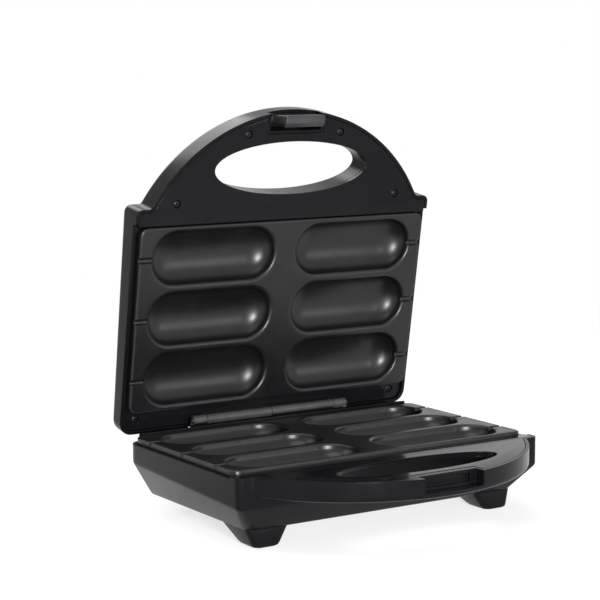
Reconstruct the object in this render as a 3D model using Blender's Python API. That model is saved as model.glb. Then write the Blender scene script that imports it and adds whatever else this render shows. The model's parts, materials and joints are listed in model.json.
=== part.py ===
# Corn dog maker: a base and a hinged lid, each with a cast plate of six moulds, lid standing open.
# X runs along the hinge, the handles point to -Y, +Z is up and the feet stand at Z = 0.
# Each half is modelled in depths, measured from its own plate's face into its own housing.
import math

import bmesh
import bpy
from mathutils import Vector

for old in list(bpy.data.objects):
    bpy.data.objects.remove(old, do_unlink=True)

# Clearances, overruns and fineness
touch_gap = 0.0003
cut_over = 0.004
corner_steps = 3
bow_steps = 16
grip_steps = 28
hole_steps = 8
knuckle_steps = 12
screw_steps = 8
turned_steps = 14
sharp_degrees = 35

# Cooking plates
plate_width = 0.222
plate_depth = 0.1246
plate_web = 0.004
plate_skirt = 0.0062
plate_skirt_side = 0.0072
plate_skirt_end = 0.003
plate_corner_radius = 0.005
plate_edge_chamfer = 0.001
plate_face_height = 0.050
plate_closed_gap = 0.0009

# Moulds and the stick groove that leaves each one
mould_depth = 0.012
mould_wall = 0.0025
mould_lip = 0.0018
mould_lip_depth = 0.0014
mould_edge_land = 0.002
mould_row_land = 0.0024
mould_groove_land = 0.00795
mould_middle_land = 0.0139
mould_rows = (-1, 0, 1)
mould_columns = (-1, 1)
mould_end_steps = 8
mould_rings = 4
bulge_end_steps = 5
bulge_rings = 2
trough_degrees = 84
stick_groove_radius = 0.0021

# Housings
housing_side_margin = 0.004
housing_wall = 0.0022
housing_front_margin = 0.0122
front_corner_radius = 0.0045
flare_side = 0.013
flare_front = 0.011
flare_corner_radius = 0.008
rim_step_margin = 0.0027
base_rear_margin = 0.0047
base_rear_radius = 0.013
base_rear_flare = 0.005
base_rim = 0.0037
base_wall_rear = 0.0155
base_wall_front = 0.021
base_panel = 0.0023
lid_rear_margin = 0.0162
lid_rear_radius = 0.009
lid_rear_flare = 0.008
lid_rim = 0.0045
lid_wall_rear = 0.014
lid_wall_front = 0.0178
lid_panel = 0.0008
lid_crown = 0.0015
lid_crown_inset = 0.030

# Handles, which have the same D outline on both halves
handle_band = 0.0205
handle_root_margin = 0.0106
handle_flank_length = 0.0037
handle_root_radius = 0.0045
handle_edge = 0.0035
handle_edge_drop = 0.0028
base_handle_depth = 0.015
lid_handle_depth = 0.0178
root_sink = 0.0002
grip_length = 0.1192
grip_width = 0.0354
grip_margin = 0.0358
grip_wall = 0.002

# Inner frames
panel_thickness = 0.0024
ring_top = 0.0065
ring_thickness = 0.0025
ring_window_gap = 0.0004
front_web = 0.0024
plate_front_gap = 0.0008

# Hinge
hinge_margin = 0.0108
hinge_height = 0.0035
lid_open_degrees = 80.5
knuckle_radius = 0.0034
knuckle_length = 0.0505
knuckle_end_length = 0.01025
knuckle_gap = 0.0005
knuckle_web = 0.0031
rod_radius = 0.0016
rod_head_radius = 0.0027
rod_head_length = 0.0015
rod_tail = 0.0022
rod_clip_radius = 0.0031
rod_clip_thickness = 0.0008
leaf_thickness = 0.0027
leaf_upright = 0.0016
leaf_rim_gap = 0.0004
lid_notch_side_gap = 0.0015
lid_stop_gap = 0.00015

# Latch, its pocket in the lid and its recess in the base
latch_pivot_margin = 0.0063
latch_pivot_depth = 0.010
latch_hub_radius = 0.0034
latch_hub_length = 0.039
latch_width = 0.030
latch_top = 0.0036
latch_leg_outer = 0.002
latch_leg_inner = 0.0033
latch_leg_length = 0.0203
latch_hook_reach = 0.0024
latch_hook_height = 0.0041
latch_hook_flat = 0.002
latch_pin_radius = 0.0012
latch_rest_degrees = 9.5
pocket_side_gap = 0.0005
pocket_back_margin = 0.0131
pocket_depth = 0.0152
pocket_wall = 0.002
pocket_front_margin = 0.0015
recess_side_gap = 0.007
recess_back_margin = 0.010
recess_depth = 0.0115
catch_side_gap = 0.0025
catch_ledge = 0.0024
catch_depth = 0.0026
catch_height = 0.0056

# Feet
foot_root = 0.0015
foot_corner_radius = 0.004
front_foot_root_margin = 0.0131
front_foot_root_width = 0.0274
front_foot_root_ahead = 0.0005
front_foot_root_length = 0.0298
front_foot_margin = 0.0175
front_foot_width = 0.018
front_foot_ahead = 0.0027
front_foot_length = 0.020
rear_foot_margin = 0.045
rear_foot_width = 0.020
rear_foot_rear_margin = 0.0073
rear_foot_length = 0.018
rear_foot_taper = 0.002
pad_radius = 0.0055
pad_height = 0.0025
pad_stand = 0.0009

# Screws, with their heads sunk in counterbores
screw_head_radius = 0.0024
screw_head_height = 0.0012
screw_drive_radius = 0.0011
screw_drive_depth = 0.0007
screw_shank_radius = 0.0012
screw_length = 0.009
short_screw_length = 0.006
screw_bite = 0.0036
counterbore_radius = 0.0028
counterbore_depth = 0.0016
boss_radius = 0.003
well_radius = 0.0027
well_wall = 0.0014
grip_screw_inset = 0.0237
grip_screw_gap = 0.0054
ledge_screw_side_margin = 0.0291
lid_ledge_screw_margin = 0.0148
base_ledge_screw_margin = 0.0173
lid_rear_screw_side_margin = 0.012
lid_rear_screw_margin = 0.0067
base_rear_screw_side_margin = 0.0182
base_rear_screw_margin = 0.0056
handle_boss_length = 0.003
corner_boss_length = 0.013
lid_corner_boss_margin = 0.0135
plate_screw_margin = 0.004

# Heating
element_radius = 0.00325
element_bend_margin = 0.0335
element_tail_margin = 0.019
element_pin_radius = 0.0014
element_pin_length = 0.008
element_depth = 0.015
element_sides = 8
element_bend_steps = 9
element_rib_width = 0.005
element_rib_margin = 0.041
clamp_thickness = 0.0012
clamp_overhang = 0.0105
clamp_width = 0.018
clamp_boss_radius = 0.0038
shield_thickness = 0.0008
shield_room = 0.00155
shield_side_margin = 0.023
shield_end_margin = 0.0103
shield_flange = 0.0035
shield_radius = 0.012
shield_post_side = 0.036
shield_post_back = 0.030
thermostat_radius = 0.0062
thermostat_height = 0.007
thermostat_tab_height = 0.0045
thermostat_tab_width = 0.004
thermostat_tab_thickness = 0.0008
thermostat_tab_spacing = 0.007
fuse_radius = 0.0021
fuse_length = 0.011
fuse_lead_radius = 0.0006
fuse_lead_length = 0.004

# Terminal block and cord gland
block_length = 0.026
block_width = 0.014
block_height = 0.0105
block_margin = 0.0133
block_room = 0.0017
block_channel_radius = 0.0018
block_pitch = 0.008
block_ways = (-1, 0, 1)
gland_side_margin = 0.043
gland_depth = 0.0255
gland_grip = 0.0029
gland_bore = 0.0043
gland_neck = 0.0061
gland_flange = 0.0082
gland_flange_thickness = 0.0018
gland_nose_length = 0.007
gland_nose_radius = 0.0058

# Indicator lenses and lamps in the lid
lens_side = 0.013
lens_front = 0.018
lens_flange_radius = 0.0048
lens_flange_height = 0.0013
lens_neck_radius = 0.0036
lens_neck_length = 0.008
lens_bore = 0.0025
lens_face = 0.0018
lamp_radius = 0.0021
lamp_length = 0.009
lamp_tip = 0.001

# Cooling slots in the floor of the base
vent_length = 0.024
vent_width = 0.0025
vent_pitch = 0.0085
vent_side_margin = 0.053
vent_places = (-2, -1, 0, 1, 2)

# Places that follow from the sizes above
half_plate_x = plate_width / 2
half_plate_y = plate_depth / 2
half_housing = half_plate_x + housing_side_margin
mould_lands = 2 * mould_edge_land + (len(mould_rows) - 1) * mould_row_land
mould_width = (plate_depth - mould_lands) / len(mould_rows) - 2 * mould_lip
mould_row_pitch = mould_width + 2 * mould_lip + mould_row_land
mould_length = half_plate_x - mould_middle_land / 2 - mould_groove_land - 2 * mould_lip
mould_column_pitch = mould_middle_land + 2 * mould_lip + mould_length
ledge_y = -(half_plate_y + housing_front_margin)
grip_y = -(half_plate_y + grip_margin)
bow_y = grip_y - grip_width / 2 - handle_band
hinge_y = half_plate_y + hinge_margin
frame_front_y = -(half_plate_y + plate_front_gap)
rim_step_y = -(half_plate_y + rim_step_margin)
base_back_y = half_plate_y + base_rear_margin
lid_back_y = half_plate_y + lid_rear_margin
frame_inset = housing_wall + touch_gap
ring_back = ring_top + ring_thickness
bulge_radius = mould_width / 2 + mould_wall
bulge_depth = mould_depth + mould_wall
mould_straight = (mould_length - mould_width) / 2
ring_share = (ring_top - plate_web / 2) / (bulge_depth - plate_web / 2)
window_reach = bulge_radius * math.sqrt(1 - ring_share ** 2) + ring_window_gap
clamp_depth = element_depth + element_radius + touch_gap
shield_depth = clamp_depth + clamp_thickness + screw_head_height + shield_room
block_depth = shield_depth + shield_thickness + block_room
floor_depth = block_depth + block_height + touch_gap
housing_depth = floor_depth + housing_wall
lid_knuckle_depth = hinge_height - plate_closed_gap
knuckle_row = knuckle_gap / 2 + knuckle_length + knuckle_gap + knuckle_end_length
screw_hole = screw_shank_radius + touch_gap
rod_hole = rod_radius + touch_gap
foot_bottom = plate_face_height - pad_stand
pocket_width = latch_hub_length + 2 * pocket_side_gap
recess_width = latch_width + 2 * recess_side_gap
catch_width = latch_width + 2 * catch_side_gap
plate_screw_side = half_plate_x - plate_screw_margin
plate_screw_back = mould_row_pitch / 2
element_tail_x = half_plate_x - element_tail_margin
element_bend_x = half_plate_x - element_bend_margin
thermostat_back = mould_row_pitch
gland_x = half_housing - gland_side_margin
block_back = half_plate_y - block_margin
vent_side = half_housing - vent_side_margin
lid_roof_depth = housing_depth - lid_crown - housing_wall
opening = math.radians(lid_open_degrees)

# The handle's bow is the arc that two straight flanks from its roots touch in their own length
root_side = half_housing - handle_root_margin
bow_rise = ledge_y - bow_y
bow_radius = (root_side ** 2 + bow_rise ** 2 - handle_flank_length ** 2) / (2 * bow_rise)
flank = math.atan2(root_side, bow_radius - bow_rise) - math.atan2(handle_flank_length, bow_radius)

# The origin stands under the middle of the whole object as it is seen from above, lid open
lid_corner_y = lid_back_y - lid_rear_flare - hinge_y
lid_corner_z = housing_depth - lid_crown - lid_knuckle_depth
rear_reach = hinge_y + math.cos(opening) * lid_corner_y + math.sin(opening) * lid_corner_z
plate_centre_y = (-bow_y - rear_reach) / 2


def empty(name, parent, location, turn):
    holder = bpy.data.objects.new(name, None)
    bpy.context.scene.collection.objects.link(holder)
    holder.parent = parent
    holder.location = location
    holder.rotation_euler = (turn, 0, 0)
    return holder


base_datum = empty("base_datum", None, (0, plate_centre_y, plate_face_height), 0)
lid_hinge = empty("lid_hinge", base_datum, (0, hinge_y, hinge_height), -opening)
lid_datum = empty("lid_datum", lid_hinge, (0, -hinge_y, plate_closed_gap - hinge_height), 0)
latch_y = bow_y + latch_pivot_margin
latch_turn = -math.radians(latch_rest_degrees)
latch_pivot = empty("latch_pivot", lid_datum, (0, latch_y, latch_pivot_depth), latch_turn)

# A half is its holder and the sense in which its depths run along Z
base = (base_datum, -1)
lid = (lid_datum, 1)
latch_half = (latch_pivot, 1)


# Outlines
def rounded(corners):
    # Closed outline of corners (x, y, radius, steps), each rounded by an arc
    points = []
    for index, (x, y, radius, steps) in enumerate(corners):
        here = Vector((x, y))
        if radius <= 0:
            points.append(here)
            continue
        before = (Vector(corners[index - 1][:2]) - here).normalized()
        after = (Vector(corners[(index + 1) % len(corners)][:2]) - here).normalized()
        half = before.angle(after) / 2
        centre = here + (before + after).normalized() * (radius / math.sin(half))
        start = here + before * (radius / math.tan(half)) - centre
        end = here + after * (radius / math.tan(half)) - centre
        first = math.atan2(start.y, start.x)
        sweep = math.atan2(start.x * end.y - start.y * end.x, start.dot(end))
        for step in range(steps + 1):
            angle = first + sweep * step / steps
            points.append(centre + radius * Vector((math.cos(angle), math.sin(angle))))
    return points


def rectangle(x, front, back, radius, steps=corner_steps):
    return rounded([(x, front, radius, steps), (x, back, radius, steps),
                    (-x, back, radius, steps), (-x, front, radius, steps)])


def ellipse(x, y, half_x, half_y, steps):
    angles = [math.pi * (2 * step + 1) / steps for step in range(steps)]
    return [Vector((x + half_x * math.cos(a), y + half_y * math.sin(a))) for a in angles]


def circle(x, y, radius, steps=hole_steps):
    return ellipse(x, y, radius, radius, steps)


def stadium(x, y, radius, steps):
    # Two half circles joined by straight sides along X
    points = []
    for side in (1, -1):
        for step in range(steps + 1):
            angle = math.pi * (step / steps - side / 2)
            points.append(Vector((x + side * mould_straight + radius * math.cos(angle),
                                  y + radius * math.sin(angle))))
    return points


def bow_corner(inset):
    # Where the two flanks of the D shape would meet, rounded by its large bow
    bow = bow_radius - inset
    return (0, bow_y + bow_radius - bow / math.cos(flank), bow, bow_steps)


def flank_x(y, inset):
    return (y - bow_corner(inset)[1]) / math.tan(flank)


def bow_outline(inset, back):
    # The bow and its flanks alone
    root_x = flank_x(back, inset)
    return rounded([(root_x, back, 0, 0), (-root_x, back, 0, 0), bow_corner(inset)])


def handle_outline(inset, back, sink=0):
    # The bow and flanks with filleted roots on the ledge, or sunk a little behind its face
    front = ledge_y + inset + sink
    root_x = flank_x(front, inset)
    side = half_housing - inset
    corner = 0
    if sink > 0:
        side = side - front_corner_radius
    else:
        corner = max(front_corner_radius - inset, front_corner_radius / 4)
    root = handle_root_radius + inset
    return rounded([(side, back, 0, 0), (-side, back, 0, 0), (-side, front, corner, corner_steps),
                    (-root_x, front, root, corner_steps), bow_corner(inset),
                    (root_x, front, root, corner_steps), (side, front, corner, corner_steps)])


def housing_outline(side, front, back, rear_radius, radius=front_corner_radius):
    return rounded([(side, front, radius, corner_steps), (side, back, rear_radius, corner_steps),
                    (-side, back, rear_radius, corner_steps), (-side, front, radius, corner_steps)])


def level(outline, depth):
    # Lays an outline at one depth, or at a depth that follows Y
    return [(p[0], p[1], depth(p[1]) if callable(depth) else depth) for p in outline]


# Solids
def place(name, mesh, holder, location=(0, 0, 0)):
    made = bpy.data.objects.new(name, mesh)
    bpy.context.scene.collection.objects.link(made)
    made.parent = holder
    made.location = location
    return made


def solid(name, rings, half, looped=False):
    # Closed solid through rings of equal count; looped joins the last ring to the first
    holder, sense = half
    shape = bmesh.new()
    loops = [[shape.verts.new((x, y, sense * z)) for x, y, z in ring] for ring in rings]
    pairs = list(zip(loops, loops[1:]))
    if looped:
        pairs.append((loops[-1], loops[0]))
    else:
        shape.faces.new(loops[0])
        shape.faces.new(loops[-1])
    for low, high in pairs:
        for here in range(len(low)):
            beside = (here + 1) % len(low)
            shape.faces.new((low[here], low[beside], high[beside], high[here]))
    bmesh.ops.recalc_face_normals(shape, faces=shape.faces)
    mesh = bpy.data.meshes.new(name)
    shape.to_mesh(mesh)
    shape.free()
    return place(name, mesh, holder)


def prism(name, outline, low, high, half):
    return solid(name, [level(outline, low), level(outline, high)], half)


def box(name, low_x, high_x, front, back, low, high, half):
    outline = [(high_x, front), (high_x, back), (low_x, back), (low_x, front)]
    return prism(name, outline, low, high, half)


def post(name, x, y, radius, low, high, half):
    return prism(name, circle(x, y, radius), low, high, half)


def across(name, profile, low_x, high_x, half):
    # Extrudes a profile of (y, depth) points along X
    return solid(name, [[(x, p[0], p[1]) for p in profile] for x in (low_x, high_x)], half)


def bar(name, y, depth, radius, low_x, high_x, half, steps=knuckle_steps):
    return across(name, circle(y, depth, radius, steps), low_x, high_x, half)


def turned(name, profile, half, x=0, y=0, looped=False):
    # Turns a profile of (radius, depth) points about an upright axis
    rings = [level(circle(x, y, radius, turned_steps), depth) for radius, depth in profile]
    return solid(name, rings, half, looped)


def change(target, tools, operation):
    for tool in tools:
        tool.hide_render = True
        tool.display_type = "WIRE"
        step = target.modifiers.new(tool.name, "BOOLEAN")
        step.operation = operation
        step.object = tool
    return target


def cut(target, *tools):
    return change(target, tools, "DIFFERENCE")


def fuse(target, *tools):
    return change(target, tools, "UNION")


# Finishes
def finish(name, colour, roughness, metallic):
    made = bpy.data.materials.new(name)
    made.use_nodes = True
    shader = made.node_tree.nodes["Principled BSDF"]
    shader.inputs["Base Color"].default_value = (*colour, 1)
    shader.inputs["Roughness"].default_value = roughness
    shader.inputs["Metallic"].default_value = metallic
    return made


black_plastic = finish("black_plastic", (0.012, 0.012, 0.015), 0.32, 0)
frame_plastic = finish("frame_plastic", (0.010, 0.010, 0.013), 0.26, 0)
latch_plastic = finish("latch_plastic", (0.03, 0.03, 0.033), 0.35, 0)
coated_aluminium = finish("coated_aluminium", (0.055, 0.055, 0.057), 0.42, 0.25)
bright_steel = finish("bright_steel", (0.55, 0.55, 0.56), 0.3, 1)
dark_steel = finish("dark_steel", (0.06, 0.06, 0.065), 0.35, 0.8)
sheath_steel = finish("sheath_steel", (0.28, 0.27, 0.25), 0.5, 0.9)
shield_metal = finish("shield_metal", (0.62, 0.63, 0.64), 0.35, 1)
rubber = finish("rubber", (0.015, 0.015, 0.015), 0.85, 0)
cream_plastic = finish("cream_plastic", (0.72, 0.68, 0.56), 0.5, 0)
red_lens = finish("red_lens", (0.55, 0.02, 0.015), 0.2, 0)
green_lens = finish("green_lens", (0.02, 0.35, 0.06), 0.2, 0)
lamp_glass = finish("lamp_glass", (0.85, 0.7, 0.6), 0.1, 0)


def dress(target, made):
    target.data.materials.append(made)
    target.data.shade_smooth()
    target.data.set_sharp_from_angle(angle=math.radians(sharp_degrees))
    return target


# Cooking plates
def trough(name, x, y, radius, depth, lips, end_steps, rings, half):
    # Half capsule lying along X: below its lips the outline narrows as cosine and sinks as sine
    last = lips[-1][1]
    bottom = math.radians(trough_degrees)
    outlines = [level(stadium(x, y, width, end_steps), low) for width, low in lips]
    for ring in range(1, rings + 1):
        angle = bottom * ring / rings
        low = last + (depth - last) * math.sin(angle) / math.sin(bottom)
        outlines.append(level(stadium(x, y, radius * math.cos(angle), end_steps), low))
    return solid(name, outlines, half)


def mould_tools(name, column, row, half):
    # The bulge under the web, then what is cut from it: the mould and its stick groove
    x = column * mould_column_pitch / 2
    y = row * mould_row_pitch
    where = f"{name}_{column}_{row}"
    bulge = trough("bulge_" + where, x, y, bulge_radius, bulge_depth,
                   [(bulge_radius, plate_web / 2)], bulge_end_steps, bulge_rings, half)
    radius = mould_width / 2
    lips = [(radius + mould_lip, -cut_over), (radius + mould_lip, 0), (radius, mould_lip_depth)]
    mould = trough("mould_" + where, x, y, radius, mould_depth, lips, mould_end_steps, mould_rings, half)
    ends = sorted((x + column * mould_straight, column * (half_plate_x + cut_over)))
    groove = bar("groove_" + where, y, 0, stick_groove_radius, *ends, half)
    return bulge, mould, groove


def make_plate(name, half):
    edge = rectangle(half_plate_x, -half_plate_y, half_plate_y, plate_corner_radius)
    chamfer = plate_edge_chamfer
    face = rectangle(half_plate_x - chamfer, chamfer - half_plate_y, half_plate_y - chamfer,
                     plate_corner_radius - chamfer)
    body = solid(name, [level(face, 0), level(edge, chamfer), level(edge, plate_skirt)], half)
    well_x = half_plate_x - plate_skirt_side
    well_y = half_plate_y - plate_skirt_end
    cut(body, box("well_" + name, -well_x, well_x, -well_y, well_y, plate_web, plate_skirt + cut_over,
                  half))
    moulds = []
    for column in mould_columns:
        for row in mould_rows:
            bulge, *hollows = mould_tools(name, column, row, half)
            fuse(body, bulge)
            moulds += hollows
    rib_end = element_depth - element_radius - touch_gap
    boss_end = element_depth + element_radius
    for leg in (-1, 1):
        y = leg * mould_row_pitch / 2
        fuse(body, box(f"rib_{name}_{leg}", element_rib_margin - half_plate_x,
                       half_plate_x - element_rib_margin, y - element_rib_width / 2,
                       y + element_rib_width / 2, plate_web / 2, rib_end, half))
    fuse(body, post("clamp_boss_" + name, 0, 0, clamp_boss_radius, plate_web / 2, boss_end, half))
    cut(body, *moulds)
    cut(body, post("clamp_hole_" + name, 0, 0, screw_hole, boss_end - short_screw_length,
                   boss_end + cut_over, half))
    for side in (-1, 1):
        for leg in (-1, 1):
            cut(body, post(f"fixing_{name}_{side}_{leg}", side * plate_screw_side, leg * plate_screw_back,
                           screw_hole, plate_skirt - screw_bite, plate_skirt + cut_over, half))
    return dress(body, coated_aluminium)


# Outer mouldings
def make_shell(name, half, rim, panel, wall_rear, wall_front, handle_depth, back, rear_radius,
               rear_flare, crown):
    # Upright walls whose lower edge slopes with Y, a flared underside and the D handle tub
    def brow(y):
        share = (back - y) / (back - ledge_y)
        return wall_rear + (wall_front - wall_rear) * share

    def walls(inset, radius):
        return housing_outline(half_housing - inset, ledge_y + inset, back - inset, rear_radius - inset,
                               radius)

    def under(inset):
        return housing_outline(half_housing - flare_side - inset, ledge_y + flare_front + inset,
                               back - rear_flare - inset, flare_corner_radius)

    rings = [level(walls(0, front_corner_radius), panel), level(walls(0, front_corner_radius), brow),
             level(under(0), housing_depth - crown)]
    if crown > 0:
        rings.append(level(under(lid_crown_inset), housing_depth))
    body = solid(name, rings, half)
    cut(body, box("rim_" + name, -half_housing - cut_over, half_housing + cut_over, rim_step_y,
                  back + cut_over, -cut_over, rim, half))
    tub_back = ledge_y + 2 * housing_wall
    handle = handle_outline(0, tub_back, root_sink)
    middle = handle_depth - handle_edge + handle_edge_drop
    tub = [level(handle, panel), level(handle, handle_depth - handle_edge),
           level(handle_outline(handle_edge - handle_edge_drop, tub_back, root_sink), middle),
           level(handle_outline(handle_edge, tub_back, root_sink), handle_depth)]
    fuse(body, solid("tub_" + name, tub, half))
    inner = walls(housing_wall, front_corner_radius / 2)
    hollow = [level(inner, -cut_over), level(inner, lambda y: brow(y) - housing_wall / 2),
              level(under(housing_wall), housing_depth - crown - housing_wall)]
    handle_hollow = prism("handle_hollow_" + name, bow_outline(housing_wall + root_sink, ledge_y),
                          -cut_over, handle_depth - housing_wall, half)
    under_panel = panel + panel_thickness + touch_gap
    cut(handle_hollow, prism("grip_tube_" + name, grip_outline(grip_wall), under_panel, housing_depth,
                             half))
    panel_bed = prism("panel_bed_" + name, handle_outline(housing_wall, frame_front_y), -cut_over,
                      under_panel, half)
    return cut(body, solid("hollow_" + name, hollow, half), handle_hollow, panel_bed)


def grip_outline(extra):
    return ellipse(0, grip_y, grip_length / 2 + extra, grip_width / 2 + extra, grip_steps)


def cut_grip(target, half):
    return cut(target, prism("grip_" + target.name, grip_outline(0), -cut_over, housing_depth, half))


def add_pocket(shell, half, width, back, wall, panel, depth):
    # Walled pocket in the bow of the handle, open towards the other half and to the front
    name = shell.name
    x = width / 2
    wall_x = x + pocket_wall
    front = bow_y + bow_radius - math.sqrt(bow_radius ** 2 - wall_x ** 2) + pocket_front_margin
    fuse(shell, box("pocket_block_" + name, -wall_x, wall_x, front, back + wall, panel + root_sink,
                    depth + pocket_wall, half))
    return box("pocket_" + name, -x, x, bow_y - cut_over, back, -cut_over, depth, half)


# Inner frames: a window ring under the plate, the handle's face panel and the step between them
def make_frame(name, half, panel, back, rear_radius):
    side = half_housing - frame_inset
    back = back - frame_inset
    panel_back = panel + panel_thickness
    body = prism(name, handle_outline(frame_inset, frame_front_y), panel, panel_back, half)
    ring = housing_outline(side, frame_front_y - front_web, back, rear_radius - frame_inset)
    window_x = mould_column_pitch / 2 + mould_straight + window_reach
    window_y = mould_row_pitch + window_reach
    fuse(body, prism("ring_" + name, ring, ring_top, ring_back, half),
         box("step_" + name, -side, side, frame_front_y - front_web, frame_front_y,
             panel_back - panel_thickness / 2, ring_back, half))
    window = rectangle(window_x, -window_y, window_y, window_reach, bulge_end_steps)
    cut(body, prism("window_" + name, window, ring_top - cut_over / 4, ring_back + cut_over, half))
    for column in (-1, 1):
        for leg in (-1, 1):
            cut(body, post(f"plate_hole_{name}_{column}_{leg}", column * plate_screw_side,
                           leg * plate_screw_back, screw_hole, ring_top - cut_over,
                           ring_back + cut_over, half))
    return cut_grip(body, half)


def notch_panel(frame, half, width, block_back):
    x = width / 2 + pocket_wall + touch_gap
    return cut(frame, box("notch_" + frame.name, -x, x, bow_y - cut_over,
                          block_back + touch_gap, -cut_over, ring_back, half))


# Screws and the bosses that they join
def make_screw(name, length):
    profile = [(screw_drive_radius, screw_drive_depth - screw_head_height),
               (screw_drive_radius, -screw_head_height),
               (screw_head_radius - screw_drive_depth, -screw_head_height), (screw_head_radius, 0),
               (screw_shank_radius, 0), (screw_shank_radius / 2, length)]
    rings = [level(circle(0, 0, radius, screw_steps), depth) for radius, depth in profile]
    pattern = solid(name, rings, (None, 1))
    mesh = dress(pattern, dark_steel).data
    bpy.data.objects.remove(pattern)
    return mesh


long_screw = make_screw("long_screw", screw_length)
short_screw = make_screw("short_screw", short_screw_length)


def set_screw(name, mesh, x, y, seat, half, inward):
    # The underside of the head rests at the seat; inward screws run to greater depth
    holder, sense = half
    made = place(name, mesh, holder, (x, y, sense * seat))
    if (sense < 0) == inward:
        made.rotation_euler = (math.pi, 0, 0)
    return made


def handle_screws(ledge_margin):
    places = ((grip_length / 2 - grip_screw_inset, grip_y - grip_width / 2 - grip_screw_gap),
              (half_housing - ledge_screw_side_margin, -(half_plate_y + ledge_margin)))
    return [(side * x, y) for side in (-1, 1) for x, y in places]


def tie_inward(number, frame, shell, x, y, face, back, end, half):
    # Screw through the frame's face into a boss that stands on the shell
    where = f"{shell.name}_{number}"
    seat = face + counterbore_depth
    boss = back + touch_gap
    cut(frame, post("sink_" + where, x, y, counterbore_radius, face - cut_over, seat, half),
        post("through_" + where, x, y, screw_hole, face, back + cut_over, half))
    fuse(shell, post("boss_" + where, x, y, boss_radius, boss, end, half))
    cut(shell, post("pilot_" + where, x, y, screw_hole, boss - cut_over / 4, seat + screw_length
                    + touch_gap, half))
    return set_screw(f"lid_screw_{number}", long_screw, x, y, seat - touch_gap, half, True)


def tie_outward(number, frame, shell, x, y, back, boss_length, skin, half):
    # Screw up a well in the shell into a boss that hangs from the frame
    where = f"{shell.name}_{number}"
    split = back + boss_length
    seat = split + screw_length - screw_bite
    fuse(frame, post("boss_" + where, x, y, boss_radius, back - ring_thickness / 2, split, half))
    cut(frame, post("pilot_" + where, x, y, screw_hole, split - screw_bite - touch_gap,
                    split + cut_over, half))
    fuse(shell, post("well_wall_" + where, x, y, well_radius + well_wall, split + touch_gap,
                     skin - housing_wall / 2, half))
    cut(shell, post("well_" + where, x, y, well_radius, seat, skin + cut_over, half),
        post("through_" + where, x, y, screw_hole, split, seat + touch_gap, half))
    return set_screw(f"base_screw_{number}", long_screw, x, y, seat + touch_gap, half, False)


# Hinge
def knuckle_span(kind, side):
    # Long knuckles meet at the middle, short ones close the row
    inner = knuckle_gap / 2
    if kind == "short":
        inner = inner + knuckle_length + knuckle_gap
    outer = inner + (knuckle_end_length if kind == "short" else knuckle_length)
    return sorted((side * inner, side * outer))


def add_knuckles(frame, profile, depth, spans, half):
    for number, (low_x, high_x) in enumerate(spans):
        where = f"{frame.name}_{number}"
        fuse(frame, across("knuckle_web_" + where, profile, low_x, high_x, half),
             bar("knuckle_" + where, hinge_y, depth, knuckle_radius, low_x, high_x, half))
    return cut(frame, bar("rod_bore_" + frame.name, hinge_y, depth, rod_hole, -half_housing,
                          half_housing, half))


def make_hinge():
    base_spans = [knuckle_span("short", -1), knuckle_span("long", 1)]
    lid_spans = [knuckle_span("long", -1), knuckle_span("short", 1)]
    leaf_low = base_rim - leaf_rim_gap
    leaf_high = leaf_low - leaf_thickness
    leaf_y = base_back_y - frame_inset
    leaf = [(leaf_y - leaf_upright, ring_back), (leaf_y - leaf_upright, leaf_high),
            (hinge_y - knuckle_web, leaf_high), (hinge_y - knuckle_web, -hinge_height),
            (hinge_y + knuckle_web, -hinge_height), (hinge_y + knuckle_web, leaf_low),
            (leaf_y, leaf_low), (leaf_y, ring_back)]
    add_knuckles(base_frame, leaf, -hinge_height, base_spans, base)
    web = [(hinge_y - knuckle_web, lid_knuckle_depth), (hinge_y + knuckle_web, lid_knuckle_depth),
           (hinge_y + knuckle_web, ring_back), (hinge_y - knuckle_web, ring_back)]
    add_knuckles(lid_frame, web, lid_knuckle_depth, lid_spans, lid)
    # The end of the notch meets the back of the leaf when the lid stands upright
    notch_x = knuckle_row + lid_notch_side_gap
    cut(lid_cover, box("hinge_notch", -notch_x, notch_x, lid_back_y - 2 * housing_wall,
                       lid_back_y + cut_over, -cut_over, lid_knuckle_depth + knuckle_web + lid_stop_gap,
                       lid))
    head = -knuckle_row - touch_gap
    tail = knuckle_row + rod_clip_thickness + rod_tail
    stations = [(rod_head_radius, head - rod_head_length), (rod_head_radius, head), (rod_radius, head),
                (rod_radius, tail)]
    rings = [[(x, p.x, p.y) for p in circle(hinge_y, -hinge_height, radius, knuckle_steps)]
             for radius, x in stations]
    dress(solid("hinge_rod", rings, base), bright_steel)
    clip_x = knuckle_row + touch_gap
    stations = [(rod_clip_radius, clip_x), (rod_clip_radius, clip_x + rod_clip_thickness),
                (rod_hole, clip_x + rod_clip_thickness), (rod_hole, clip_x)]
    rings = [[(x, p.x, p.y) for p in circle(hinge_y, -hinge_height, radius, knuckle_steps)]
             for radius, x in stations]
    dress(solid("hinge_rod_clip", rings, base, looped=True), bright_steel)


# Latch: a lever on a pin in the lid, whose hook reaches under a ledge in the base
def make_latch():
    inner = latch_leg_inner
    hook = inner + latch_hook_reach
    tip = -latch_leg_length
    profile = [(-latch_leg_outer, tip), (inner, tip), (hook, tip + latch_hook_height - latch_hook_flat),
               (hook, tip + latch_hook_height), (inner, tip + latch_hook_height), (inner, latch_top / 2),
               (inner / 2, latch_top), (-latch_leg_outer, latch_top)]
    lever = across("latch", profile, -latch_width / 2, latch_width / 2, latch_half)
    fuse(lever, bar("latch_hub", 0, 0, latch_hub_radius, -latch_hub_length / 2, latch_hub_length / 2,
                    latch_half))
    cut(lever, bar("latch_bore", 0, 0, latch_pin_radius + touch_gap, -pocket_width, pocket_width,
                   latch_half))
    dress(lever, latch_plastic)
    pin_end = pocket_width / 2 + pocket_wall - touch_gap
    dress(bar("latch_pin", latch_y, latch_pivot_depth, latch_pin_radius, -pin_end, pin_end, lid),
          bright_steel)


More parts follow.
